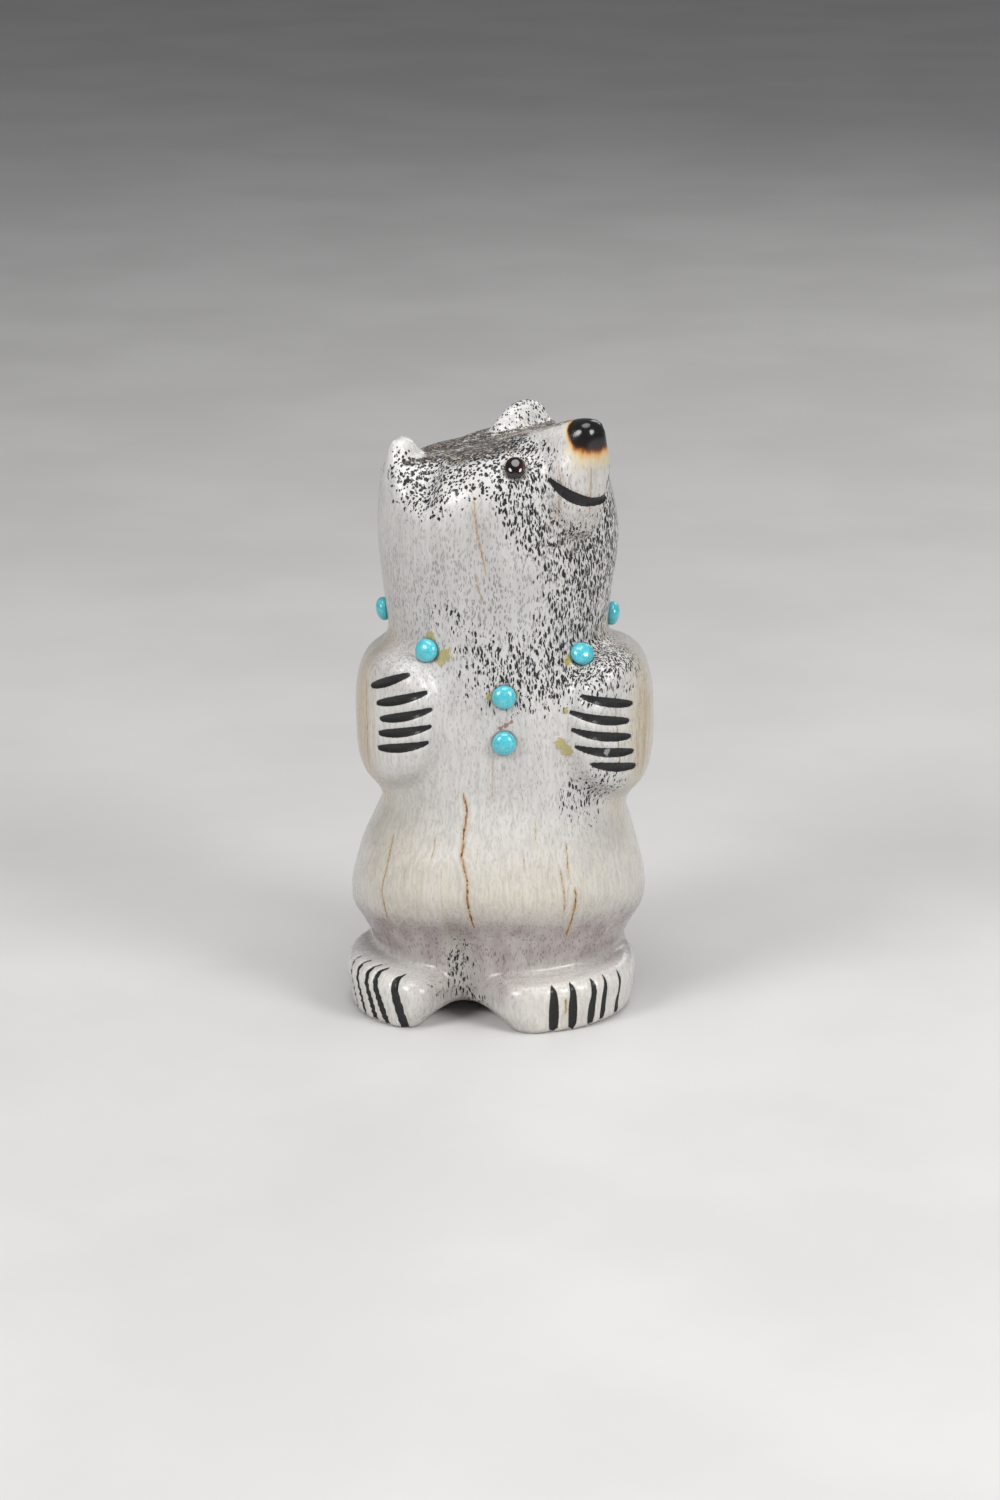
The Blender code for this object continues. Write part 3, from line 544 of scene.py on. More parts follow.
# dried glue beside the stones: compass angle, height, radius
gluePlan = ((-37.5, 49.5, 1.0), (-29.0, 47.4, 1.25), (-31.5, 46.6, 0.9), (-6.2, 42.6, 0.9), (5.6, 43.0, 0.6),
            (33.6, 46.4, 1.0), (75.5, 48.9, 1.1), (26.4, 36.4, 1.15), (29.0, 35.6, 1.1), (28.9, 40.6, 0.55),
            (-53.8, 35.2, 0.55),
            (-139.0, 49.2, 0.9), (127.0, 50.2, 0.8), (176.0, 49.0, 0.8))

# a red-brown chip above the lowest stone of the chest, told the same way
chipPlan = ((-1.6, 38.7, 0.5), (0.8, 39.05, 0.55), (3.4, 39.5, 0.42))

# a spot of the left paw's fourth claw where the black fill turns paler
paleFillSpot = (42.5, 35.35, 0.75)

nosePlan = {"along": 16.4, "across": 0.1, "height": 75.5, "radii": (2.5, 3.6, 2.7)}


def wrapped(angle):
    return (angle + 180.0) % 360.0 - 180.0


def zoneStrength(azimuth, height, spots):
    # one less the product of what each soft spot leaves; a spot falls off as exp(-size^2)
    left = np.ones_like(azimuth)
    for angle, level, halfWidth, halfHeight, strength in spots:
        size = np.hypot(wrapped(azimuth - angle) / halfWidth, (height - level) / halfHeight)
        left = left * (1 - strength * np.exp(-0.8 * size ** 2))
    return 1 - left


def skinMarks(points, normals, radiusOf):
    # numbers that the antler's surface reads at each point, all from the point's place
    x, y, z = points.T
    azimuth = np.degrees(np.arctan2(x, -y))
    marks = {name: zoneStrength(azimuth, z, spots) for name, spots in antlerZones.items()}
    flatness = np.clip((normals[:, 2] - 0.74) / 0.20, 0, 1)
    marks["crown"] = np.clip(1 - np.abs(crownForm(points)) / 1.5, 0, 1) * flatness * flatness * (3 - 2 * flatness)
    # painted shade: how deep the point sits in a hollow, darkened in the shader
    marks["hollow"] = np.clip(1 - bearForm(points + 1.6 * normals) / 1.6, 0, 1)
    # painted highlight: how far the point stands out on a ridge, lightened in the shader
    marks["ridge"] = np.clip(1 + bearForm(points - 1.2 * normals) / 1.2, 0, 1)
    for layer in (0, 1):
        marks["crackSide%d" % layer] = np.full(len(points), 5.0)
        marks["crackHold%d" % layer] = np.zeros(len(points))
    for layer, halfWidth, depth, path in crackPlan:
        angles, levels = np.array(path).T
        middle = np.interp(-z, -levels, angles)
        side = np.radians(wrapped(azimuth - middle)) * radiusOf / (halfWidth / 0.07)
        ends = np.clip((levels[0] - z) / 0.9, 0, 1) * np.clip((z - levels[-1]) / 0.9, 0, 1)
        near = np.abs(side) < np.abs(marks["crackSide%d" % layer])
        near &= ends > 0
        marks["crackSide%d" % layer] = np.where(near, side, marks["crackSide%d" % layer])
        marks["crackHold%d" % layer] = np.where(near, ends * depth, marks["crackHold%d" % layer])
    for layer in (0, 1):
        marks["crackHold%d" % layer] *= np.abs(marks["crackSide%d" % layer]) < 1.4
        marks["crackSide%d" % layer] = np.clip(marks["crackSide%d" % layer], -1.5, 1.5)
    q = points - headMiddle
    nose = np.stack([q @ gaze - nosePlan["along"], q @ acrossHead - nosePlan["across"],
                     z - nosePlan["height"]], -1) / np.array(nosePlan["radii"])
    off = (np.linalg.norm(nose, axis=-1) - 1) * 3.1
    down = np.clip((74.0 - z) / 3.0, 0, 1)
    marks["nose"] = np.where(off > 0, off / (0.45 + 1.3 * down), off)
    spots, _ = touchSkin([g[0] for g in gluePlan], np.array([g[1] for g in gluePlan]))
    reach = np.array([g[2] for g in gluePlan])
    marks["glue"] = np.clip(1 - np.linalg.norm(points[:, None] - spots, axis=-1) / reach, 0, 1).max(-1)
    chips, _ = touchSkin([g[0] for g in chipPlan], np.array([g[1] for g in chipPlan]))
    reach = np.array([g[2] for g in chipPlan])
    marks["chip"] = np.clip(1 - np.linalg.norm(points[:, None] - chips, axis=-1) / reach, 0, 1).max(-1)
    bare, _ = touchSkin(paleFillSpot[0], paleFillSpot[1])
    marks["bare"] = np.clip(1 - np.linalg.norm(points - bare[0], axis=-1) / paleFillSpot[2], 0, 1)
    return marks


def placed(points):
    return (points - originShift) * mm


def closedMesh(name, grid, marks=None):
    # quads between the rings of a grid that closes round, and a fan at each pole
    around, along = grid.shape[:2]
    rows = along - 2
    points = np.concatenate([grid[:, 1:-1].reshape(-1, 3), grid[:1, 0], grid[:1, -1]])
    i = np.arange(around)[:, None]
    j = np.arange(rows - 1)[None, :]
    ahead = (i + 1) % around
    quads = np.stack([i * rows + j, ahead * rows + j, ahead * rows + j + 1, i * rows + j + 1], -1).reshape(-1, 4)
    first, last = around * rows, around * rows + 1
    i, ahead = i[:, 0], ahead[:, 0]
    lowFan = np.stack([0 * i + first, ahead * rows, i * rows], -1)
    highFan = np.stack([0 * i + last, i * rows + rows - 1, ahead * rows + rows - 1], -1)
    mesh = bpy.data.meshes.new(name)
    mesh.from_pydata(placed(points).tolist(), [], quads.tolist() + lowFan.tolist() + highFan.tolist())
    for key, values in (marks or {}).items():
        mark = mesh.attributes.new(key, "FLOAT", "POINT")
        mark.data.foreach_set("value", values.astype(np.float32))
    mesh.shade_smooth()
    mesh.update()
    piece = bpy.data.objects.new(name, mesh)
    bpy.context.scene.collection.objects.link(piece)
    return piece


def flat(grid):
    return np.concatenate([grid[:, 1:-1].reshape(-1, 3), grid[:1, 0], grid[:1, -1]])


def unflat(points, grid):
    out = grid.copy()
    out[:, 1:-1] = points[:-2].reshape(grid.shape[0], -1, 3)
    out[:, 0], out[:, -1] = points[-2], points[-1]
    return out


def carvedBear(stones):
    grid = carvedSkin()
    print("skin worked out: %d points" % (grid.shape[0] * grid.shape[1]))
    points = flat(grid)
    slope = slopeOf(points)
    normals = slope / np.linalg.norm(slope, axis=-1, keepdims=True)
    radiusOf = np.hypot(points[:, 0], points[:, 1])
    marks = skinMarks(points, normals, radiusOf)
    marks["cut"] = grooveDistance(points)
    print("marks laid out")
    # relief along the outward direction: cut grooves, stone seats, glue, and the knife's unevenness
    inside = np.clip(-marks["cut"] / 0.32, 0, 1)
    relief = -clawPlan["depth"] * inside * (2 - inside)
    standing = points[:, 2] > 0.6
    relief += standing * 0.045 * ripples(points, 6.5, 3) * np.clip(marks["cut"], 0, 1)
    relief += 0.10 * np.clip(marks["glue"] * 2.5, 0, 1) * (0.6 + 0.4 * ripples(points, 0.9, 8))
    marks["seat"] = np.full(len(points), 5.0)
    for name, (point, _) in stones.items():
        plan = eyePlan if name.startswith("eye") else beadPlan
        away = np.linalg.norm(points - point, axis=-1)
        step = np.clip((plan["stemRadius"] + 0.5 - away) / 0.35, 0, 1)
        relief -= (plan["depth"] + 0.15) * step * step * (3 - 2 * step)
        marks["seat"] = np.minimum(marks["seat"], away - plan["radius"])
    points = points + relief[:, None] * normals
    low, high = (np.array(corner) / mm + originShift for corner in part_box("antler_bear"))
    points = np.clip(points, low, high)
    return closedMesh("antler_carving", unflat(points, grid), marks)


def stoneGrid(point, normal, plan, widthShare, seed):
    # profile turned about the outward direction: a low dome, drawn in below its girth, on a short stem
    t = np.linspace(0, 2.15, 22)
    rise = plan["stand"] * 0.68
    radius = plan["radius"] * np.sin(t) ** 0.92
    height = plan["stand"] - rise + rise * np.cos(t)
    stem = np.array([(plan["stemRadius"], height[-1] - 0.05), (plan["stemRadius"], -plan["depth"] * 0.9),
                     (plan["stemRadius"] * 0.8, -plan["depth"]), (0.0, -plan["depth"])])
    profile = np.concatenate([np.stack([radius, height], -1), stem])[::-1]
    angle = np.linspace(0, 2 * math.pi, 56, endpoint=False)
    upright = np.cross([0, 0, 1], normal)
    upright /= np.linalg.norm(upright)
    upward = np.cross(normal, upright)
    rng = np.random.default_rng(seed)
    lobe = 1 + 0.012 * np.sin(3 * angle + rng.uniform(0, 6)) + 0.01 * np.sin(2 * angle + rng.uniform(0, 6))
    lobe = lobe / lobe.max()
    ring = (np.cos(angle) * lobe * widthShare)[:, None] * upright + (np.sin(angle) * lobe)[:, None] * upward
    grid = point + ring[:, None] * profile[None, :, :1] + normal * profile[None, :, 1:]
    return grid


# surfaces

def toolbox(name):
    # short ways to add nodes to one new material
    material = bpy.data.materials.new(name)
    material.use_nodes = True
    tree = material.node_tree
    shader = tree.nodes["Principled BSDF"]

    def put(kind, **settings):
        node = tree.nodes.new(kind)
        for key, value in settings.items():
            setattr(node, key, value)
        return node

    def join(value, socket):
        if isinstance(value, bpy.types.NodeSocket):
            tree.links.new(value, socket)
        elif isinstance(value, tuple) and socket.type == "RGBA":
            socket.default_value = (*value, 1.0)
        else:
            socket.default_value = value

    def calc(operation, *values, clamp=False):
        node = put("ShaderNodeMath", operation=operation, use_clamp=clamp)
        for value, socket in zip(values, node.inputs):
            join(value, socket)
        return node.outputs[0]

    def mix(share, first, second, mode="MIX"):
        node = put("ShaderNodeMix", data_type="RGBA", blend_type=mode)
        join(share, node.inputs[0])
        join(first, node.inputs[6])
        join(second, node.inputs[7])
        return node.outputs[2]

    def fade(value, start, end, low=0.0, high=1.0):
        node = put("ShaderNodeMapRange", interpolation_type="SMOOTHSTEP")
        for item, socket in zip((value, start, end, low, high), node.inputs):
            join(item, socket)
        return node.outputs[0]

    def millimetres():
        scaled = put("ShaderNodeMapping")
        scaled.inputs["Scale"].default_value = (1000.0, 1000.0, 1000.0)
        join(put("ShaderNodeTexCoord").outputs["Object"], scaled.inputs["Vector"])
        return scaled.outputs[0]

    def stretched(place, scale, shift=(0.0, 0.0, 0.0)):
        node = put("ShaderNodeMapping")
        join(place, node.inputs["Vector"])
        node.inputs["Location"].default_value = shift
        node.inputs["Scale"].default_value = scale
        return node.outputs[0]

    def noise(place, scale, detail=2.0, roughness=0.5, distortion=0.0, output=0):
        node = put("ShaderNodeTexNoise")
        join(place, node.inputs["Vector"])
        for key, value in (("Scale", scale), ("Detail", detail), ("Roughness", roughness),
                           ("Distortion", distortion)):
            node.inputs[key].default_value = value
        return node.outputs[output]

    def wandering(place, scale, amount):
        # the place shifted by a coloured noise, the same amount either way
        offset = put("ShaderNodeVectorMath", operation="SUBTRACT")
        join(noise(place, scale, output=1), offset.inputs[0])
        offset.inputs[1].default_value = (0.5, 0.5, 0.5)
        moved = put("ShaderNodeVectorMath", operation="MULTIPLY_ADD")
        join(offset.outputs[0], moved.inputs[0])
        moved.inputs[1].default_value = (amount, amount, amount)
        join(place, moved.inputs[2])
        return moved.outputs[0]

    def cells(place, scale):
        # distance to the nearest seeded point, and that point's own random number
        node = put("ShaderNodeTexVoronoi")
        join(place, node.inputs["Vector"])
        node.inputs["Scale"].default_value = scale
        luck = put("ShaderNodeSeparateColor")
        join(node.outputs["Color"], luck.inputs[0])
        return node.outputs["Distance"], luck.outputs[0]

    def read(mark):
        return put("ShaderNodeAttribute", attribute_name=mark).outputs["Fac"]

    def bump(height, strength=1.0):
        # height is in millimetres
        node = put("ShaderNodeBump")
        node.inputs["Distance"].default_value = mm
        node.inputs["Strength"].default_value = strength
        join(height, node.inputs["Height"])
        return node.outputs[0]

    return SimpleNamespace(material=material, shader=shader, put=put, join=join, calc=calc, mix=mix, fade=fade,
                           millimetres=millimetres, stretched=stretched, noise=noise, wandering=wandering,
                           cells=cells, read=read, bump=bump)


antlerLooks = {
    "ivory": (0.640, 0.622, 0.600),
    "ivoryDull": (0.560, 0.545, 0.525),
    "cream": (0.600, 0.530, 0.390),
    # whiter bone of the white zones, also the painted highlight on the ridges
    "whiteAndHighlight": (0.740, 0.725, 0.690),
    "grey": (0.400, 0.395, 0.395),
    "greyWarm": (0.440, 0.405, 0.400),
    "mauve": (0.290, 0.232, 0.235),
    "mauveDull": (0.370, 0.325, 0.315),
    "poreGround": (0.680, 0.672, 0.660),
    "poreBlack": (0.010, 0.010, 0.012),
    "crownTan": (0.210, 0.150, 0.095),
    "crownGrey": (0.040, 0.033, 0.030),
    "crackBrown": (0.085, 0.038, 0.014),
    "crackTan": (0.330, 0.165, 0.055),
    "crackHalo": (0.500, 0.370, 0.210),
    "glue": (0.380, 0.320, 0.100),
    "chip": (0.235, 0.085, 0.045),
    "fill": (0.004, 0.004, 0.004),
    "fillScuff": (0.050, 0.050, 0.055),
    # the dark line round the stones, and the painted shade in the hollows
    "jointDarkAndShade": (0.230, 0.200, 0.170),
    # the paler colour of one spot in the claw fill
    "paleFillTone": (0.420, 0.410, 0.370),
    "woodPale": (0.500, 0.425, 0.300),
    "woodTan": (0.380, 0.290, 0.170),
    "woodLine": (0.200, 0.160, 0.080),
    "stain": (0.235, 0.200, 0.145)}


def antlerSurface():
    # colour = ivory, streaked along the fibres, greyed and pored by zones, then cracks, toast, glue and black fill
    t, c = toolbox("carved_antler"), antlerLooks
    place = t.millimetres()
    bent = t.wandering(place, 0.55, 0.9)
    fibre = t.stretched(bent, (1.0, 1.0, 0.30))
    hair = t.stretched(bent, (1.0, 1.0, 0.07))

    # ground: two ivories in soft clouds, cream and white by zone, and a painted highlight that lightens the ridges
    cloud = t.fade(t.noise(place, 0.16, 3.0), 0.35, 0.65)
    colour = t.mix(cloud, c["ivoryDull"], c["ivory"])
    cream = t.calc("MULTIPLY", t.read("cream"), t.fade(t.noise(hair, 0.8, 3.0), 0.22, 0.70, 0.55, 1.0))
    colour = t.mix(t.calc("MULTIPLY", cream, 0.8), colour, c["cream"])
    white = t.calc("MULTIPLY", t.read("white"), 0.8)
    colour = t.mix(white, colour, c["whiteAndHighlight"])
    # painted highlight: the ridges are lightened towards the white
    ridge = t.fade(t.read("ridge"), 0.18, 0.55)
    colour = t.mix(t.calc("MULTIPLY", ridge, 0.45), colour, c["whiteAndHighlight"])

    # streaks: fine hairs of darker bone along the antler
    streak = t.fade(t.noise(hair, 2.6, 4.0, 0.62), 0.36, 0.66, 0.84, 1.05)
    colour = t.mix(1.0, colour, t.calc("MINIMUM", streak, 1.0), "MULTIPLY")

    # grey of the neck and mauve above the feet, both in soft clouds along the fibres
    clouds = t.fade(t.noise(fibre, 0.5, 3.0), 0.22, 0.72, 0.60, 1.12)
    greyZone = t.calc("MULTIPLY", t.read("grey"), clouds, clamp=True)
    greyTone = t.mix(t.fade(t.noise(place, 0.35, 2.0), 0.4, 0.62), c["grey"], c["greyWarm"])
    colour = t.mix(t.calc("MULTIPLY", greyZone, 0.62), colour, greyTone)
    mauveZone = t.calc("MULTIPLY", t.fade(t.read("mauve"), 0.12, 0.85), clouds, clamp=True)
    mauveTone = t.mix(t.fade(t.noise(place, 0.45, 3.0), 0.38, 0.64), c["mauve"], c["mauveDull"])
    colour = t.mix(t.calc("MULTIPLY", mauveZone, 0.85), colour, mauveTone)

    # outer arms and the crevice between the feet: tan wood-like streaks, olive-brown stain
    grain = t.fade(t.noise(t.stretched(bent, (1.0, 1.0, 0.04)), 1.8, 4.0, 0.65), 0.40, 0.62)
    wood = t.mix(grain, c["woodPale"], c["woodTan"])
    wood = t.mix(t.calc("MULTIPLY", t.fade(t.noise(hair, 3.2, 2.0), 0.58, 0.70), 0.6), wood, c["woodLine"])
    colour = t.mix(t.calc("MULTIPLY", t.read("wood"), 0.85), colour, wood)
    stain = t.calc("MULTIPLY", t.read("stain"), t.fade(t.noise(place, 1.1, 3.0), 0.28, 0.66, 0.45, 1.0))
    colour = t.mix(t.calc("MULTIPLY", stain, 0.8), colour, c["stain"])

    # pore zones: a light ground, then pits; a pit's radius grows with its zone's strength and its cell's luck
    roundZone, longZone = t.read("round"), t.read("pore")
    ground = t.calc("MAXIMUM", roundZone, t.calc("MULTIPLY", longZone, 0.7))
    colour = t.mix(t.calc("MULTIPLY", ground, 0.62), colour, c["poreGround"])
    dim = t.fade(t.noise(place, 0.8, 2.0), 0.25, 0.6, 0.72, 1.0)
    ragged = t.calc("MULTIPLY", t.calc("SUBTRACT", t.noise(place, 5.0, 1.0), 0.5), 0.30)

    def pitLayer(zone, scale, upright, widest, start):
        away, luck = t.cells(t.stretched(bent, (1.0, 1.0, upright)), scale)
        chance = t.calc("ADD", t.calc("MULTIPLY", zone, 1.25), t.calc("SUBTRACT", luck, 1.0 + start))
        radius = t.calc("MULTIPLY", t.fade(chance, -0.05, 0.45, -0.15, 1.0), widest)
        return t.calc("MULTIPLY", t.calc("SUBTRACT", radius, t.calc("ADD", away, ragged)), 8.0, clamp=True)

    patch, longPatch = t.calc("MULTIPLY", roundZone, dim), t.calc("MULTIPLY", longZone, dim)
    pits = pitLayer(patch, 2.0, 0.80, 0.52, 0.0)
    for zone, scale, upright, widest, start in ((patch, 3.3, 0.60, 0.48, 0.05), (longPatch, 2.7, 0.30, 0.46, 0.0),
                                                (longPatch, 4.2, 0.28, 0.47, 0.0)):
        pits = t.calc("MAXIMUM", pits, pitLayer(zone, scale, upright, widest, start))
    faint = pitLayer(t.calc("MULTIPLY_ADD", greyZone, 0.35, 0.58), 4.4, 0.26, 0.48, 0.0)
    faintShare = t.calc("MULTIPLY_ADD", t.calc("MAXIMUM", greyZone, mauveZone), 0.50, 0.10)
    colour = t.mix(t.calc("MULTIPLY", faint, faintShare), colour, (0.070, 0.066, 0.070))

    # crown: the sawn end of the antler, mottled tan and grey
    crown = t.fade(t.read("crown"), 0.10, 0.75)
    mottle = t.noise(place, 1.0, 3.0, 0.6)
    crownTone = t.mix(t.fade(mottle, 0.46, 0.54), c["crownGrey"], c["crownTan"])
    crownTone = t.mix(t.fade(t.noise(bent, 1.5, 2.0), 0.54, 0.60, 0.0, 0.75), crownTone, c["poreGround"])
    colour = t.mix(t.calc("MULTIPLY", crown, 0.88), colour, crownTone)
    colour = t.mix(pits, colour, c["poreBlack"])

    # painted shade: the hollows are darkened towards a grey-brown, broken up by a noise along the fibres
    hollow = t.calc("MULTIPLY", t.fade(t.read("hollow"), 0.12, 0.75),
                    t.fade(t.noise(fibre, 0.9, 3.0), 0.3, 0.65, 0.5, 1.0))
    colour = t.mix(t.calc("MULTIPLY", hollow, 0.45), colour, c["jointDarkAndShade"])

    # drying cracks: the side mark crosses nought on the crack, shifted a little by noise
    crackDepth = None
    wobble = t.calc("MULTIPLY", t.calc("SUBTRACT", t.noise(place, 1.3, 3.0, 0.6), 0.5), 0.42)
    specksOfDirt = t.fade(t.noise(place, 2.4, 2.0), 0.44, 0.60)
    uneven = t.fade(t.noise(fibre, 2.2, 3.0, 0.6), 0.34, 0.60, 0.30, 1.0)
    for layer in ("0", "1"):
        side = t.calc("ABSOLUTE", t.calc("ADD", t.read("crackSide" + layer), wobble))
        hold = t.read("crackHold" + layer)
        halo = t.calc("MULTIPLY", t.fade(side, 0.46, 0.12), hold)
        line = t.calc("MULTIPLY", t.fade(side, 0.17, 0.05), t.calc("MULTIPLY", hold, uneven))
        colour = t.mix(t.calc("MULTIPLY", halo, 0.5), colour, c["crackHalo"])
        colour = t.mix(line, colour, c["crackTan"])
        middle = t.calc("MULTIPLY", t.fade(side, 0.10, 0.03), t.calc("MULTIPLY", hold, specksOfDirt))
        colour = t.mix(middle, colour, c["crackBrown"])
        crackDepth = line if crackDepth is None else t.calc("MAXIMUM", crackDepth, line)

    # nose: charred black, toasted brown and yellow along its edge
    ring = t.calc("ADD", t.read("nose"), t.calc("MULTIPLY", t.calc("SUBTRACT", t.noise(hair, 1.6, 3.0), 0.5), 1.1))
    toast = t.put("ShaderNodeValToRGB")
    stops = ((0.0, (0.010, 0.009, 0.009)), (0.28, (0.018, 0.011, 0.009)), (0.40, (0.10, 0.028, 0.008)),
             (0.50, (0.34, 0.125, 0.028)), (0.60, (0.60, 0.34, 0.11)), (0.76, (0.66, 0.53, 0.29)))
    while len(toast.color_ramp.elements) < len(stops):
        toast.color_ramp.elements.new(0.5)
    for element, (position, tone) in zip(toast.color_ramp.elements, stops):
        element.position = position
        element.color = (*tone, 1.0)
    t.join(t.fade(ring, -1.2, 2.2), toast.inputs[0])
    toasted = t.fade(ring, 2.0, 0.5)
    colour = t.mix(toasted, colour, toast.outputs[0])
    charred = t.fade(ring, 0.5, -0.1)

    # dried glue, a red chip, and a thin dark line round each stone
    spread = t.calc("MULTIPLY", t.calc("SUBTRACT", t.noise(place, 2.2, 3.0), 0.5), 1.1)
    glue = t.fade(t.calc("ADD", t.read("glue"), spread), 0.24, 0.42)
    colour = t.mix(t.calc("MULTIPLY", glue, 0.82), colour, c["glue"])
    broken = t.calc("MULTIPLY", t.calc("SUBTRACT", t.noise(place, 3.0, 2.0), 0.5), 0.8)
    chip = t.fade(t.calc("ADD", t.read("chip"), broken), 0.3, 0.5)
    colour = t.mix(t.calc("MULTIPLY", chip, 0.8), colour, c["chip"])
    rim = t.calc("MULTIPLY", t.fade(t.calc("ABSOLUTE", t.read("seat")), 0.30, 0.02), 0.6)
    colour = t.mix(rim, colour, c["jointDarkAndShade"])

    # black fill in the claws and the mouth, scuffed here and there
    edge = t.calc("ADD", t.read("cut"), t.calc("MULTIPLY", t.calc("SUBTRACT", t.noise(place, 3.2, 2.0), 0.5), 0.10))
    fill = t.fade(edge, 0.035, -0.035)
    scuff = t.calc("MULTIPLY", t.fade(t.noise(place, 1.6, 4.0, 0.7), 0.56, 0.72), 0.8)
    black = t.mix(t.calc("MULTIPLY", scuff, 0.6), c["fill"], c["fillScuff"])
    # a paler patch in the black fill round that one spot
    paleInFill = t.calc("ADD", t.read("bare"), t.calc("SUBTRACT", t.noise(place, 2.6, 2.0), 0.5))
    black = t.mix(t.calc("MULTIPLY", t.fade(paleInFill, 0.28, 0.50), 0.7), black, c["paleFillTone"])
    colour = t.mix(fill, colour, black)

    roughness = t.calc("MULTIPLY_ADD", t.noise(fibre, 1.4, 3.0), 0.16, 0.20)
    for share, amount in ((greyZone, 0.42), (pits, 0.85), (charred, 0.16), (glue, 0.35), (crackDepth, 0.7),
                          (fill, 0.55)):
        node = t.put("ShaderNodeMix")
        t.join(share, node.inputs[0])
        t.join(roughness, node.inputs[2])
        node.inputs[3].default_value = amount
        roughness = node.outputs[0]

    # height in mm: pores and cracks sink, hairs and tool marks ripple
    height = t.calc("MULTIPLY", pits, -0.11)
    height = t.calc("MULTIPLY_ADD", crackDepth, -0.06, height)
    height = t.calc("MULTIPLY_ADD", t.noise(hair, 3.0, 3.0, 0.6), 0.022, height)
    height = t.calc("MULTIPLY_ADD", t.calc("MULTIPLY", faint, greyZone), -0.02, height)
    height = t.calc("MULTIPLY_ADD", t.calc("MULTIPLY", glue, t.noise(place, 3.0, 2.0)), 0.10, height)
    height = t.calc("MULTIPLY_ADD", t.calc("MULTIPLY", fill, t.noise(place, 4.0, 3.0)), 0.05, height)

    t.join(colour, t.shader.inputs["Base Color"])
    t.join(roughness, t.shader.inputs["Roughness"])
    t.join(t.bump(height, 0.9), t.shader.inputs["Normal"])
    t.shader.inputs["IOR"].default_value = 1.54
    t.shader.inputs["Specular IOR Level"].default_value = 0.38
    t.shader.inputs["Subsurface Weight"].default_value = 0.08
    t.shader.inputs["Subsurface Radius"].default_value = (1.0, 0.75, 0.5)
    t.shader.inputs["Subsurface Scale"].default_value = 0.0006
    t.shader.inputs["Coat Weight"].default_value = 0.20
    t.shader.inputs["Coat Roughness"].default_value = 0.12
    return t.material


beadLooks = {"stone": (0.070, 0.500, 0.585), "pale": (0.135, 0.590, 0.660), "deep": (0.048, 0.415, 0.495),
             "vein": (0.300, 0.680, 0.710)}


def turquoiseSurface():
    # colour = two blues in clouds, paler flecks, a hint of pale vein where a noise crosses its middle
    t, c = toolbox("turquoise_stone"), beadLooks
    place = t.millimetres()
    colour = t.mix(t.fade(t.noise(place, 0.9, 3.0), 0.36, 0.64), c["deep"], c["stone"])
    colour = t.mix(t.calc("MULTIPLY", t.fade(t.noise(place, 2.6, 3.0, 0.6), 0.50, 0.68), 0.6), colour, c["pale"])
    crossing = t.calc("ABSOLUTE", t.calc("SUBTRACT", t.noise(place, 1.4, 4.0, 0.6), 0.5))
    vein = t.calc("MULTIPLY", t.fade(crossing, 0.022, 0.0), 0.45)
    colour = t.mix(vein, colour, c["vein"])
    t.join(colour, t.shader.inputs["Base Color"])
    t.join(t.calc("MULTIPLY_ADD", t.noise(place, 3.0, 3.0), 0.18, 0.14), t.shader.inputs["Roughness"])
    t.join(t.bump(t.calc("MULTIPLY", t.noise(place, 2.2, 3.0), 0.05), 0.6), t.shader.inputs["Normal"])
    t.shader.inputs["Coat Weight"].default_value = 0.5
    t.shader.inputs["Coat Roughness"].default_value = 0.06
    t.shader.inputs["IOR"].default_value = 1.6
    return t.material


eyeLooks = {"dark": (0.008, 0.004, 0.004), "maroon": (0.030, 0.008, 0.008)}


def eyeSurface():
    # colour = near black with maroon clouds
    t, c = toolbox("dark_eye_stone"), eyeLooks
    place = t.millimetres()
    colour = t.mix(t.fade(t.noise(place, 0.8, 2.0), 0.42, 0.68), c["dark"], c["maroon"])
    t.join(colour, t.shader.inputs["Base Color"])
    t.join(t.calc("MULTIPLY_ADD", t.noise(place, 2.0, 2.0), 0.06, 0.05), t.shader.inputs["Roughness"])
    t.join(t.bump(t.calc("MULTIPLY", t.noise(place, 1.2, 2.0), 0.02), 0.5), t.shader.inputs["Normal"])
    t.shader.inputs["Coat Weight"].default_value = 0.25
    t.shader.inputs["Coat Roughness"].default_value = 0.03
    t.shader.inputs["IOR"].default_value = 1.6
    return t.material


stones = stonePlaces()
bear = carvedBear(stones)
bear.data.materials.append(antlerSurface())
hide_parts("antler_bear")
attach(bear, "root")
print("bear carved: %d faces" % len(bear.data.polygons))

turquoise, darkStone = turquoiseSurface(), eyeSurface()
for number, (name, (point, normal)) in enumerate(stones.items()):
    isEye = name.startswith("eye")
    plan = eyePlan if isEye else beadPlan
    grid = stoneGrid(point, normal, plan, eyePlan["widthShare"] if isEye else 1.0, number)
    low, high = (np.array(corner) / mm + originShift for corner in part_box(name))
    stone = closedMesh(name + "_stone", np.clip(grid, low, high))
    stone.data.materials.append(darkStone if isEye else turquoise)
    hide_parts(name)
    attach(stone, "root")
print("stones set: %d" % len(stones))


# floor, lights and camera

stagePlan = {"floorRadius": 4.0, "floorTone": (0.62, 0.61, 0.60), "floorToneDark": (0.58, 0.57, 0.56)}


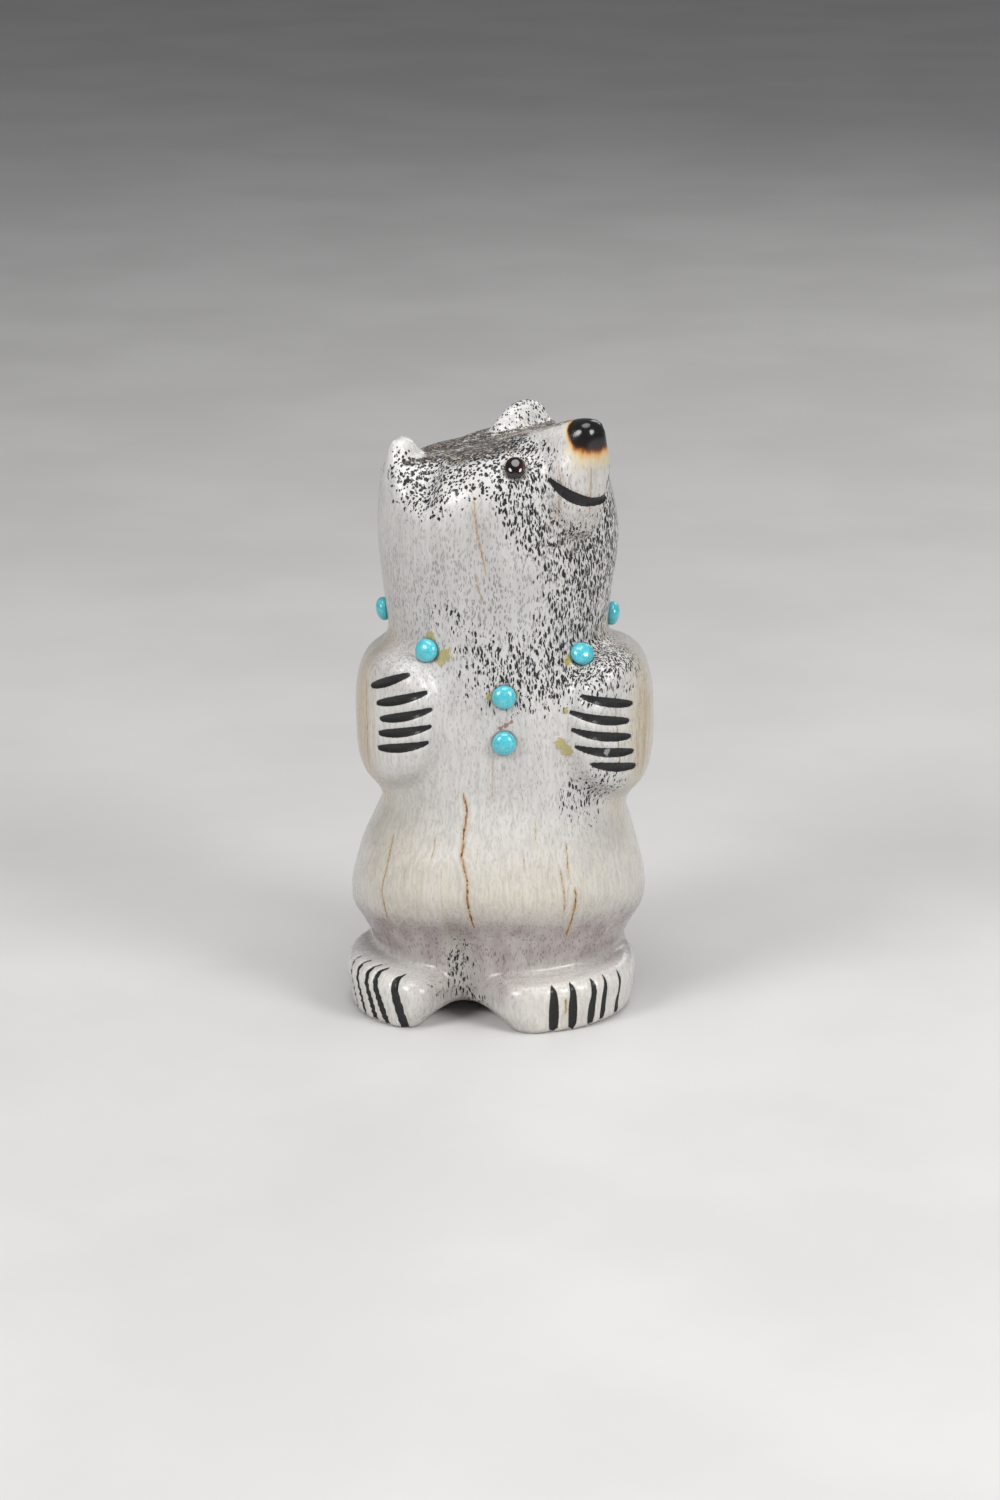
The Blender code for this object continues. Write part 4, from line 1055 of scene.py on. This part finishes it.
def paleFloor():
    angle = np.linspace(0, 2 * math.pi, 96, endpoint=False)
    radii = np.array([0.15, 0.5, 1.5, stagePlan["floorRadius"]])
    rings = np.stack([np.cos(angle)[:, None] * radii, np.sin(angle)[:, None] * radii,
                      np.full((len(angle), len(radii)), -0.00002)], -1).reshape(-1, 3)
    i, j = np.arange(len(angle))[:, None], np.arange(len(radii) - 1)[None, :]
    ahead, n = (i + 1) % len(angle), len(radii)
    quads = np.stack([i * n + j, i * n + j + 1, ahead * n + j + 1, ahead * n + j], -1).reshape(-1, 4)
    fan = np.stack([0 * i[:, 0] + len(rings), i[:, 0] * n, ahead[:, 0] * n], -1)
    mesh = bpy.data.meshes.new("pale_floor")
    mesh.from_pydata(rings.tolist() + [(0.0, 0.0, -0.00002)], [], quads.tolist() + fan.tolist())
    floor = bpy.data.objects.new("pale_floor", mesh)
    bpy.context.scene.collection.objects.link(floor)
    t = toolbox("pale_floor")
    place = t.millimetres()
    tone = t.mix(t.fade(t.noise(place, 0.02, 4.0), 0.35, 0.65), stagePlan["floorToneDark"], stagePlan["floorTone"])
    t.join(tone, t.shader.inputs["Base Color"])
    t.join(t.calc("MULTIPLY_ADD", t.noise(place, 0.5, 3.0), 0.1, 0.55), t.shader.inputs["Roughness"])
    mesh.materials.append(t.material)


lightPlan = {
    # place, size and power of each soft light, aimed at the chest
    "key": ((-0.38, -0.34, 0.36), 0.26, 2.05),
    "fill": ((0.40, -0.32, 0.32), 0.26, 2.05),
    "top": ((0.02, -0.06, 0.60), 0.40, 1.9),
    "behind": ((0.25, 0.50, 0.35), 0.30, 0.5),
    "world": (0.82, 0.83, 0.86), "worldStrength": 0.18}


def softLights():
    for name in ("key", "fill", "top", "behind"):
        place, size, power = lightPlan[name]
        lamp = bpy.data.lights.new(name, "AREA")
        lamp.shape = "DISK"
        lamp.size = size
        lamp.energy = power
        light = bpy.data.objects.new(name, lamp)
        light.location = place
        light.rotation_mode = "QUATERNION"
        light.rotation_quaternion = (Vector((0, 0, 0.04)) - Vector(place)).to_track_quat("-Z", "Y")
        bpy.context.scene.collection.objects.link(light)
    world = bpy.data.worlds.new("soft_room")
    bpy.context.scene.world = world
    world.use_nodes = True
    background = world.node_tree.nodes["Background"]
    background.inputs["Color"].default_value = (*lightPlan["world"], 1.0)
    background.inputs["Strength"].default_value = lightPlan["worldStrength"]
    bpy.context.scene.view_settings.view_transform = "Standard"   # keeps the blacks black


cameraPlan = {"target": (0.00047, 0.00062, 0.038), "distance": 0.52, "elevation": math.radians(16),
              "lens": 99.84, "targetPixel": (504, 700), "picture": (1000, 1500)}


def photoCamera():
    # aimed at the chest from the front, lifted, then shifted so the target falls on its pixel
    c = cameraPlan
    back = Vector((0, -math.cos(c["elevation"]), math.sin(c["elevation"])))
    lens = bpy.data.cameras.new("photo_camera")
    lens.sensor_fit = "AUTO"
    lens.sensor_width = 36.0
    lens.lens = c["lens"]
    lens.clip_start = 0.01
    lens.shift_x = (c["picture"][0] / 2 - c["targetPixel"][0]) / c["picture"][1]
    lens.shift_y = (c["targetPixel"][1] - c["picture"][1] / 2) / c["picture"][1]
    camera = bpy.data.objects.new("photo_camera", lens)
    camera.location = Vector(c["target"]) + back * c["distance"]
    camera.rotation_mode = "QUATERNION"
    camera.rotation_quaternion = (-back).to_track_quat("-Z", "Y")
    bpy.context.scene.collection.objects.link(camera)
    bpy.context.scene.camera = camera


paleFloor()
softLights()
photoCamera()
print("floor, lights and camera set")
